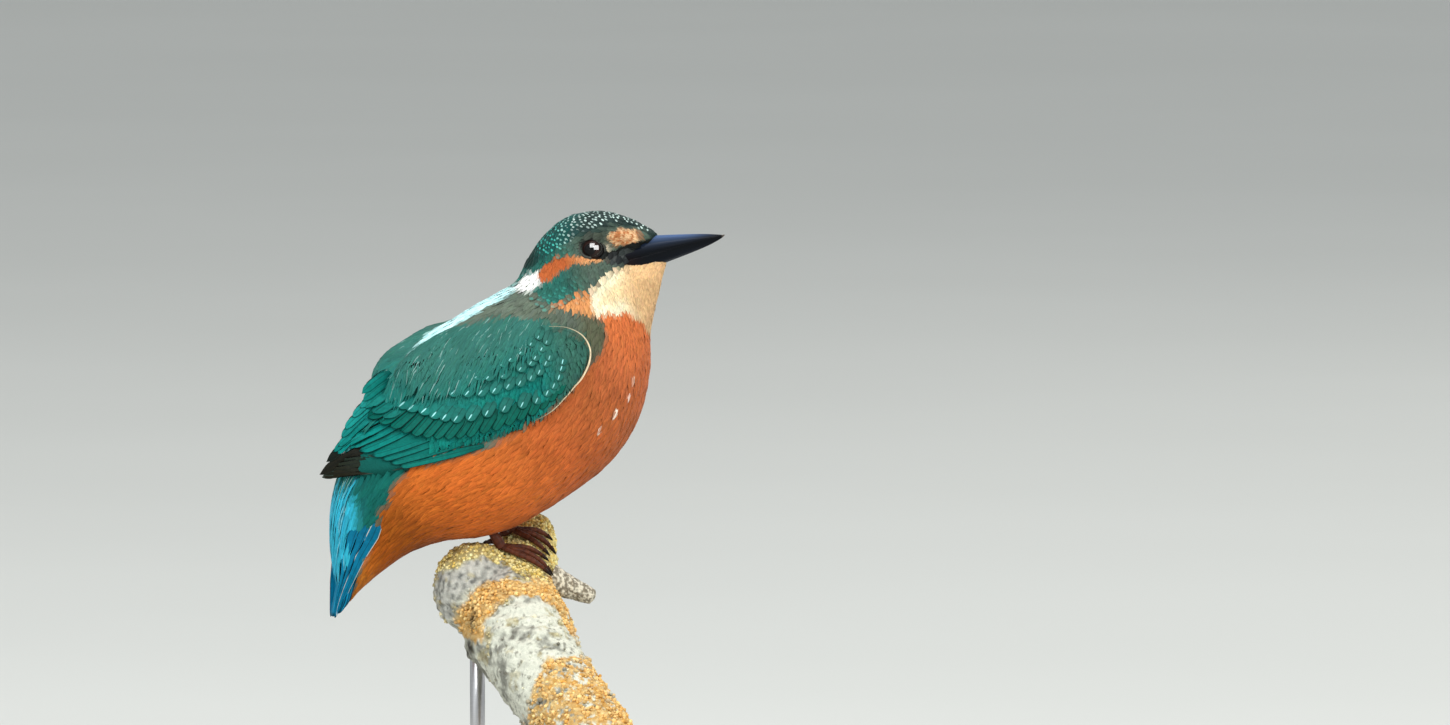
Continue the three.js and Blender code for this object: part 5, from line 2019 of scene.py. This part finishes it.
        triangles = (faces[None] + (np.arange(count) * 12)[:, None, None]).reshape(-1, 3)
        tint = self.tint(self.branch.posed(spot)) * rng.uniform(0.7, 1.25, (count, 1))
        shell = Shell(points.reshape(-1, 3), np.empty((0, 4), int), triangles)
        shell.values["tint"] = np.repeat(tint, 12, axis=0)
        return shell


@dataclass
class Stand:
    """The turned base and its two rods, at the places that the CAD gives them."""

    grip: Array
    edge: float = 2.0

    def lathe(self, node: str, outline: Callable[[float, float], list[Spot]], ring: int) -> Shell:
        """A profile turned about the upright line through the middle of a CAD node.

        Args:
            node: the node whose box gives the place, the radius and the height.
            outline: makes the profile of (distance out, height) from that radius and height, foot first.
            ring: points round it.

        Returns:
            The closed shape.
        """
        low, high = (np.array(corner) / MM - self.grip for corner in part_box(node))
        out, up = np.array(outline((high[0] - low[0]) / 2, high[2] - low[2])).T[..., None]
        middle, turn = (low + high) / 2, -circle(ring)
        return loft(stacked(middle[0] + out * np.cos(turn), middle[1] + out * np.sin(turn), low[2] + up))

    def base(self) -> Shell:
        """A flat foot, a small bead, a cove, a rounded top edge and a groove inside it."""

        def outline(radius: float, height: float) -> list[Spot]:
            """The profile; the edge and the bead are arcs, middle + radius (cos, sin)."""
            inner, level = radius - self.edge, height - self.edge
            bend, round_ = np.linspace(0, np.pi / 2, 8), np.linspace(-np.pi / 2, np.pi / 2, 7)
            top = [(inner + self.edge * np.cos(a), level + self.edge * np.sin(a)) for a in bend]
            bead = [(radius - 0.5 + 0.5 * np.cos(a), 2.4 + 0.5 * np.sin(a)) for a in round_]
            return [(8.0, 0.0), (radius - 1.2, 0.0), (radius - 0.3, 0.5), (radius - 0.3, 1.8), *bead,
                    (radius - 0.5, 3.4), *top, (radius - 6, height), (radius - 6.6, height - 0.5),
                    (radius - 7.2, height), (14.0, height)]

        return self.lathe("stand_base", outline, 160)

    def rod(self, node: str) -> Shell:
        """A rod from the base into the branch, with a low collar where it leaves the base."""

        def outline(radius: float, height: float) -> list[Spot]:
            """The collar's steps, then straight up."""
            steps = ((1.6, 0), (1.6, 0.9), (1.2, 1.3), (0.2, 1.5), (0, 1.9))
            collar = [(radius + out, up) for out, up in steps]
            return [*collar, (radius, height * 0.5), (radius, height)]

        return self.lathe(node, outline, 48)


# ---------- studio
LAMPS = (
    ("key", (1.0, -1.5, 1.15), 0.42, 16.0, (1.0, 0.985, 0.95)),
    ("window", (-0.65, -1.5, 1.3), 0.42, 13.0, (0.97, 0.99, 1.0)),
    ("fill", (-1.8, -1.6, 0.6), 1.8, 6.0, (0.95, 0.98, 1.0)),
    ("top", (0.0, -0.2, 2.0), 1.6, 17.0, (1.0, 1.0, 1.0)),
    ("rim", (1.4, 1.6, 1.0), 1.0, 7.0, (1.0, 0.98, 0.94)),
)


@dataclass
class Studio:
    """The camera, the lights, the floor and the pale surroundings."""

    grip: Array
    azimuth: float = np.radians(-18)
    elevation: float = np.radians(4)
    lens: float = 400.0
    sensor: float = 36.0
    distance: float = 4.27
    aside: float = 59.6
    above: float = 47.0

    def axes(self) -> tuple[Array, Array, Array, Array]:
        """The camera's right, up and forward directions, and the level one below the last."""
        a, e = self.azimuth, self.elevation
        forward = np.array([-np.sin(a) * np.cos(e), np.cos(a) * np.cos(e), -np.sin(e)])
        right = np.array([np.cos(a), np.sin(a), 0.0])
        return right, np.cross(right, forward), forward, unit(forward * (1, 1, 0))

    @staticmethod
    def hold(thing: bpy.types.Object, axes: Sequence[Array], at: Array) -> None:
        """Puts a camera or a light at a place; axes are its right, its up and the way out of its back."""
        place = np.eye(4)
        place[:3] = np.column_stack([*axes, at])
        thing.matrix_world = Matrix(place.tolist())
        bpy.context.scene.collection.objects.link(thing)

    def camera(self) -> None:
        """A long lens, level with the bird, aimed beside it as the view is framed."""
        right, up, forward, _ = self.axes()
        aim = (self.grip + right * self.aside + up * self.above) * MM
        data = bpy.data.cameras.new("view")
        data.lens, data.sensor_width, data.clip_end = self.lens, self.sensor, 60.0
        camera = bpy.data.objects.new("view", data)
        self.hold(camera, (right, up, -forward), aim - forward * self.distance)
        bpy.context.scene.camera = camera

    def light(self, name: str, away: Place, size: float, power: float, colour: Colour) -> bpy.types.Object:
        """A soft square light that faces the bird.

        Args:
            name: its name.
            away: metres right, forward and up from the bird, as the camera sees it.
            size: its side in metres.
            power: watts.
            colour: its tint.

        Returns:
            The light."""
        right, _, _, level = self.axes()
        offset = right * away[0] + level * away[1] + UP * away[2]
        data = bpy.data.lights.new(name, "AREA")
        data.shape, data.size, data.energy, data.color = "SQUARE", size, power, colour
        lamp = bpy.data.objects.new(name, data)
        back = unit(offset)
        across = unit(np.cross(UP, back))
        self.hold(lamp, (across, np.cross(back, across), back), self.grip * MM + (0, 0, 0.05) + offset)
        return lamp

    def floor(self) -> None:
        """A pale sheet, level and then sweeping up far behind: height = rise * ease(distance)."""
        far, wide = np.meshgrid(np.linspace(-8, 16, 90), np.linspace(-14, 14, 3), indexing="ij")
        right, _, _, level = self.axes()
        points = far[..., None] * level + wide[..., None] * right
        points[..., 2] = 9 * smooth(6, 16, far) ** 1.2
        points[..., :2] += self.grip[:2] * MM
        mesh = bpy.data.meshes.new("studio_floor")
        index = np.arange(270).reshape(90, 3)
        quads = stacked(index[:-1, :-1], index[1:, :-1], index[1:, 1:], index[:-1, 1:]).reshape(-1, 4)
        mesh.from_pydata(points.reshape(-1, 3).tolist(), [], quads[:, ::-1].tolist())
        mesh.polygons.foreach_set("use_smooth", np.ones(len(quads), bool))
        paint = Paint("studio_paper", Roughness=0.9)
        paint.feed("Base Color", paint.blend((0.62, 0.63, 0.6), (0.66, 0.67, 0.64), paint.grain(3.0, 2.0)))
        mesh.materials.append(paint.material)
        sheet = bpy.data.objects.new("studio_floor", mesh)
        bpy.context.scene.collection.objects.link(sheet)

    def build(self) -> None:
        """Everything round the model."""
        self.camera()
        self.floor()
        for lamp in LAMPS:
            self.light(*lamp)
        eyes = bpy.data.collections.new("eyes")
        for name, away in (("catch_right", (1.05, -1.4, 0.45)), ("catch_left", (-0.1, -1.4, 1.2))):
            self.light(name, away, 1.4, 420.0, (1.0, 1.0, 1.0)).light_linking.receiver_collection = eyes
        world = bpy.data.worlds.new("surroundings")
        world.use_nodes = True
        backdrop = world.node_tree.nodes["Background"]
        backdrop.inputs["Color"].default_value = (0.9, 0.93, 0.95, 1.0)
        backdrop.inputs["Strength"].default_value = 0.65
        bpy.context.scene.world = world
        bpy.context.scene.view_settings.view_transform = "Standard"


# ---------- the whole


@dataclass
class Plumage:
    """The skin and all that grows on it."""

    shop: Workshop
    body: Body
    eyes: Eyes
    feet: tuple[Foot, Foot]

    def __post_init__(self) -> None:
        """Sets up markings, coat and finishes."""
        thighs = [self.feet[0].branch.posed(foot.ankle()) + np.array((-3.4, 0.8 * side, 6.2))
                  for foot, side in zip(self.feet, (1, -1))]
        self.markings = Markings(self.body, self.eyes)
        self.coat = Coat(self.body, self.markings, thigh_at=tuple(map(tuple, thighs)))
        self.down = SkinLook().material()
        self.silk = FeatherLook("silky_feathers", 0.7, 0.08, 0.4, 3.0, 0.12).material()
        self.face = FeatherLook("short_face_feathers", 0.7, 0.05, 0.4, 2.0, 0.16).material()
        self.scales = FeatherLook("crown_scales", 0.5, 0.05, 0.5, 3.0, 0.2, (0.3, 0.7, 0.68),
            (0.5, 0.8, 0.3, 0.11),
                                  marked=True).material()
        self.vanes = FeatherLook("wing_vanes", 0.45, 0.03, 26.0, 0.0, 0.3, (0.36, 0.8, 0.8),
            (0.5, 0.86, 0.06, 0.12),
                                 True, True).material()

    def keeps(self, t: Array, turn: Array) -> Array:
        """Whether a tuft may grow: not on the eye, nor where the bill comes out."""
        places = self.body.straight(t, turn)
        flat = places[:, [0, 2]]
        return (self.eyes.away(flat) > 1.14) & (inside(flat, BILL_EDGE) < 0.15) | (t < 0.6)

    def skin(self) -> None:
        """The one skin, in place of every fleshy node."""
        replaced = ["head", "neck", "trunk", "tail_coverts_upper", "tail_coverts_under", "leg_left",
            "leg_right"]
        shell = Skin(self.body, self.coat, self.markings).shell()
        self.shop.piece("skin", shell, self.down, Slot.BODY, replaced)

    def soft(self) -> None:
        """The long soft feathers of trunk and neck, in two pieces."""
        t, turn = self.coat.roots(12500, 0.012, 0.665,
            lambda t: 1 / np.interp(t, [0, 0.5, 0.67], [1, 0.92, 0.7]) ** 2, 1)
        hidden = self.body.wing_share(t, turn, 1.6) > 0.5
        t, turn = t[~hidden], turn[~hidden]
        length = self.coat.length(t)
        half = np.interp(t, [0, 0.5, 0.66], [0.85, 0.75, 0.5])
        under = np.cos(turn) < -0.25
        for name, chosen in (("breast_and_belly", under), ("flanks_and_back", ~under)):
            tt, uu = t[chosen], turn[chosen]
            deep, up = -self.coat.depth(tt), np.cos(uu) > 0.25
            shell = self.coat.tufts(tt, uu, STRAND, length[chosen], half[chosen], np.radians(4), deep, 0.05,
                3,
                                    on_wing=up, loose=0.1)
            self.shop.piece(name, shell, self.silk, Slot.BODY)

    def head_coat(self) -> None:
        """Short fine feathers over the face, throat and nape."""
        t, turn = self.coat.roots(11500, 0.64, 0.992,
            lambda t: 1 / np.interp(t, [0.64, 0.75, 1], [0.62, 0.45, 0.34]) ** 2, 2)
        kept = self.keeps(t, turn)
        t, turn = t[kept], turn[kept]
        places = self.body.section(t, turn)
        near = smooth(2.4, 1.2, self.eyes.away(places[:, [0, 2]]))
        length = self.coat.length(t) * mix(1.0, 0.5, near)
        half = np.interp(t, [0.64, 0.75, 1], [0.42, 0.34, 0.24])
        shell = self.coat.tufts(t, turn, FINE_STRAND, length, half, np.radians(5), -self.coat.depth(t), 0.06,
            4)
        self.shop.piece("face_and_throat", shell, self.face, Slot.HEAD)

    def crown(self) -> None:
        """Small round feathers over crown and cheeks, each with a pale bar by its tip."""
        t, turn = self.coat.lattice(0.585, 0.965, 1.3, 1.4)
        rng = np.random.default_rng(9)
        t, turn = t + rng.normal(0, 0.0012, len(t)), turn + rng.normal(0, 0.008, len(t))
        places = self.body.section(t, turn)
        flat = places[:, [0, 2]]
        crown, cheek = inside(flat, CROWN_EDGE) > 0.2, inside(flat, CHEEK_EDGE) > 0.3
        patch = (inside(flat, NECK_PATCH) > -0.8) & (np.abs(places[:, 1]) > 1.5)
        stripe = (inside(flat, EAR_STRIPE) > -1.5) | patch
        bare = (inside(flat, LORE_PATCH) > -1.0) | (self.eyes.away(flat) < 1.7)
        kept = self.keeps(t, turn) & (crown | cheek) & ~stripe & ~bare
        t, turn, places, crown = t[kept], turn[kept], places[kept], crown[kept]
        x, z = places[:, 0], places[:, 2]
        plain = bump(np.hypot((x - 27.5) / 4.2, (z - 81.6) / 2.4), 0, 0.85)
        hind = smooth(9, 14, x) * smooth(75.5, 78, z + 0.25 * (x - 20))
        spot = np.where(crown, hind * (1 - np.clip(plain * 1.3, 0, 1)), 0.3 * smooth(26, 18, x))
        spot = spot * rng.uniform(0.5, 1.0, len(t))
        mark = tinted((0.06, 0.5, 0.42), (0.62, 0.8, 0.74), smooth(18, 25, x) * crown)
        length = np.interp(t, [0.58, 0.7, 0.9, 1], [3.6, 3.1, 2.7, 2.2])
        half = np.interp(t, [0.58, 0.7, 0.9, 1], [1.05, 0.95, 0.85, 0.75])
        shell = self.coat.tufts(t, turn, SCALE, length, half, 0.0, -0.3, 0.22, 6, spot, loose=0.06)
        shell.values["mark"] = np.repeat(mark, len(shell.points) // len(t), axis=0)
        self.shop.piece("crown_and_cheek_scales", shell, self.scales, Slot.HEAD)

    def scapulars(self) -> None:
        """Silky strands over the top of the folded wing, and small feathers at its bend."""
        t, turn = self.coat.roots(9000, 0.2, 0.62, np.ones_like, 5)
        places = self.body.section(t, turn)
        flat = places[:, [0, 2]]
        beside = np.abs(places[:, 1]) - self.markings.stripe_half(places[:, 2])
        long = (inside(flat, SCAPULAR_BAND) > 0) & (beside > 0.6)
        tt, uu = t[long], turn[long]
        tt, uu = np.concatenate([tt, tt + 0.004]), np.concatenate([uu, uu + 0.02])
        length, half = np.interp(tt, [0.2, 0.35, 0.6], [8.5, 8.5, 6.5]), np.full(len(tt), 0.42)
        lean = np.radians(np.interp(tt, [0.28, 0.42], [2, 17]))
        # pale: a few strands painted pale as sheen
        shell = self.coat.tufts(tt, uu, STRAND, length, half, lean, -1.2, 0.3, 11, on_wing=1.0, loose=0.13,
                                pale=0.08)
        self.shop.piece("scapulars", shell, self.silk, Slot.WING)
        front = np.interp(flat[:, 1], [28, 37, 48, 56], [-3, 4.5, 8, 4]) - 1.5
        small = (inside(flat, self.body.wing_outline) > 0.3) & ~long & (flat[:, 0] > -24)
        tt, uu, high = t[small], turn[small], np.where(flat[small, 0] > front[small], 0.12, -0.7)
        ones = np.ones(len(tt))
        shell = self.coat.tufts(tt, uu, SCALE, 3.2 * ones, 0.85 * ones, np.radians(28), -1.4, high, 12,
                                0 * ones, on_wing=1.0)
        shell.values["mark"] = shell.values["tint"]
        self.shop.piece("marginal_coverts", shell, self.scales, Slot.WING,
                        ["wing_coverts_left", "wing_coverts_right"])

    def strings(self) -> None:
        """The loose azure feathers that hang over the tail."""
        t, turn = self.coat.roots(1500, 0.08, 0.27, np.ones_like, 8)
        back = (np.abs(self.body.section(t, turn)[:, 1]) < 6.5) & (np.minimum(turn, TAU - turn) < 1.2)
        t, turn = t[back], turn[back]
        ones = np.ones(len(t))
        # pale: a share of strands painted pale as sheen
        shell = self.coat.tufts(t, turn, STRAND, 11.0 * ones, 0.42 * ones, 0.0, -0.5, 0.8, 14, loose=0.12,
                                pale=0.16)
        self.shop.piece("upper_tail_coverts", shell, self.silk, Slot.TAIL)

    def flight(self) -> None:
        """The wings' rows and the tail."""
        for side, shell in (("left", Wings(self.body, slip=0.72).shell()),
                            ("right", Wings(self.body).shell().mirrored())):
            self.shop.piece(f"wing_{side}", shell, self.vanes, Slot.WING, [f"wing_quills_{side}"])
        rim, pale = Wings(self.body).rim(), GrainLook("pale_rim", 0.8, 1500.0, 0.2, 0.0001).material()
        for side, shell in both(rim):
            self.shop.piece(f"wing_rim_{side}", shell, pale, Slot.WING)
        self.shop.piece("tail_vanes", Tail(self.body).fan(), self.vanes, Slot.TAIL, ["tail"])
        for side, shell in both(Tail(self.body).side()):
            self.shop.piece(f"tail_side_{side}", shell, self.vanes, Slot.TAIL)

    def build(self) -> None:
        """Everything that grows."""
        self.skin()
        self.soft()
        self.head_coat()
        self.crown()
        self.scapulars()
        self.strings()
        self.flight()


def main() -> None:
    """Builds the pieces in order and logs how many were made."""
    logging.basicConfig(level=logging.INFO, format="%(name)s: %(message)s")
    low, high = (np.array(corner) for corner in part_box("stand_base"))
    grip = np.array([*(low + high)[:2] / 2, low[2]]) / MM + (0, 20, 85)
    shop = Workshop(grip)
    Studio(grip).build()
    body, eyes, branch = Body(), Eyes(), Branch()
    feet = Foot(branch, 0.85), Foot(branch, 0.745)
    Plumage(shop, body, eyes, feet).build()

    horn = HornLook("bill_horn").material()
    bill = Bill(body)
    for upper, node in ((True, "bill_upper"), (False, "bill_lower")):
        shop.piece(f"{node}_horn", bill.mandible(upper), horn, Slot.BILL, [node])
    pieces = EyePieces(body, eyes)
    wet, lid = EyeLook().material(), GrainLook("lid_skin", 0.55, 1800.0, 0.25, 0.0002).material()
    ball, rim = pieces.ball(), pieces.lids()
    for side, sign in (("left", 1), ("right", -1)):
        seen = shop.piece(f"eye_{side}_ball", pieces.posed(ball, sign), wet, Slot.EYE, [f"eye_{side}"])
        bpy.data.collections["eyes"].objects.link(seen)
        shop.piece(f"eyelids_{side}", pieces.posed(rim, sign), lid, Slot.HEAD)

    scaly = GrainLook("toe_scutes", 0.42, 1500.0, 0.2, 0.00015).material()
    dark = HornLook("claw_horn", 0.3).material()
    for side, foot in zip(("left", "right"), feet):
        shop.piece(f"toes_{side}", foot.toes(), scaly, Slot.FOOT, [f"foot_{side}"])
        nodes = [f"claw_{toe.name}_{side}" for toe in TOES]
        shop.piece(f"claws_{side}", foot.claws(), dark, Slot.CLAW, nodes)

    perch = Perch(branch)
    bark = GrainLook("bark_and_crust", 0.85, 900.0, 0.3, 0.0005, 0.7).material()
    shop.piece("branch_bark", perch.stem(), bark, Slot.BARK, ["perch_branch"])
    shop.piece("twig_stub", perch.stub(), bark, Slot.BARK, ["perch_twig"])
    crust = GrainLook("lichen_granules", 0.9, 2600.0, 0.3, 0.0002, 0.6).material()
    shop.piece("lichen", perch.lichen(9000, 3), crust, Slot.BARK)

    stand = Stand(grip)
    shop.piece("base_turned", stand.base(), WoodLook().material(), Slot.WOOD, ["stand_base"])
    steel = SteelLook().material()
    for node in ("stand_rod_far", "stand_rod_near"):
        shop.piece(f"{node}_brushed", stand.rod(node), steel, Slot.STEEL, [node])
    LOG.info("%d pieces", shop.made)


if __name__ == "__main__":
    main()
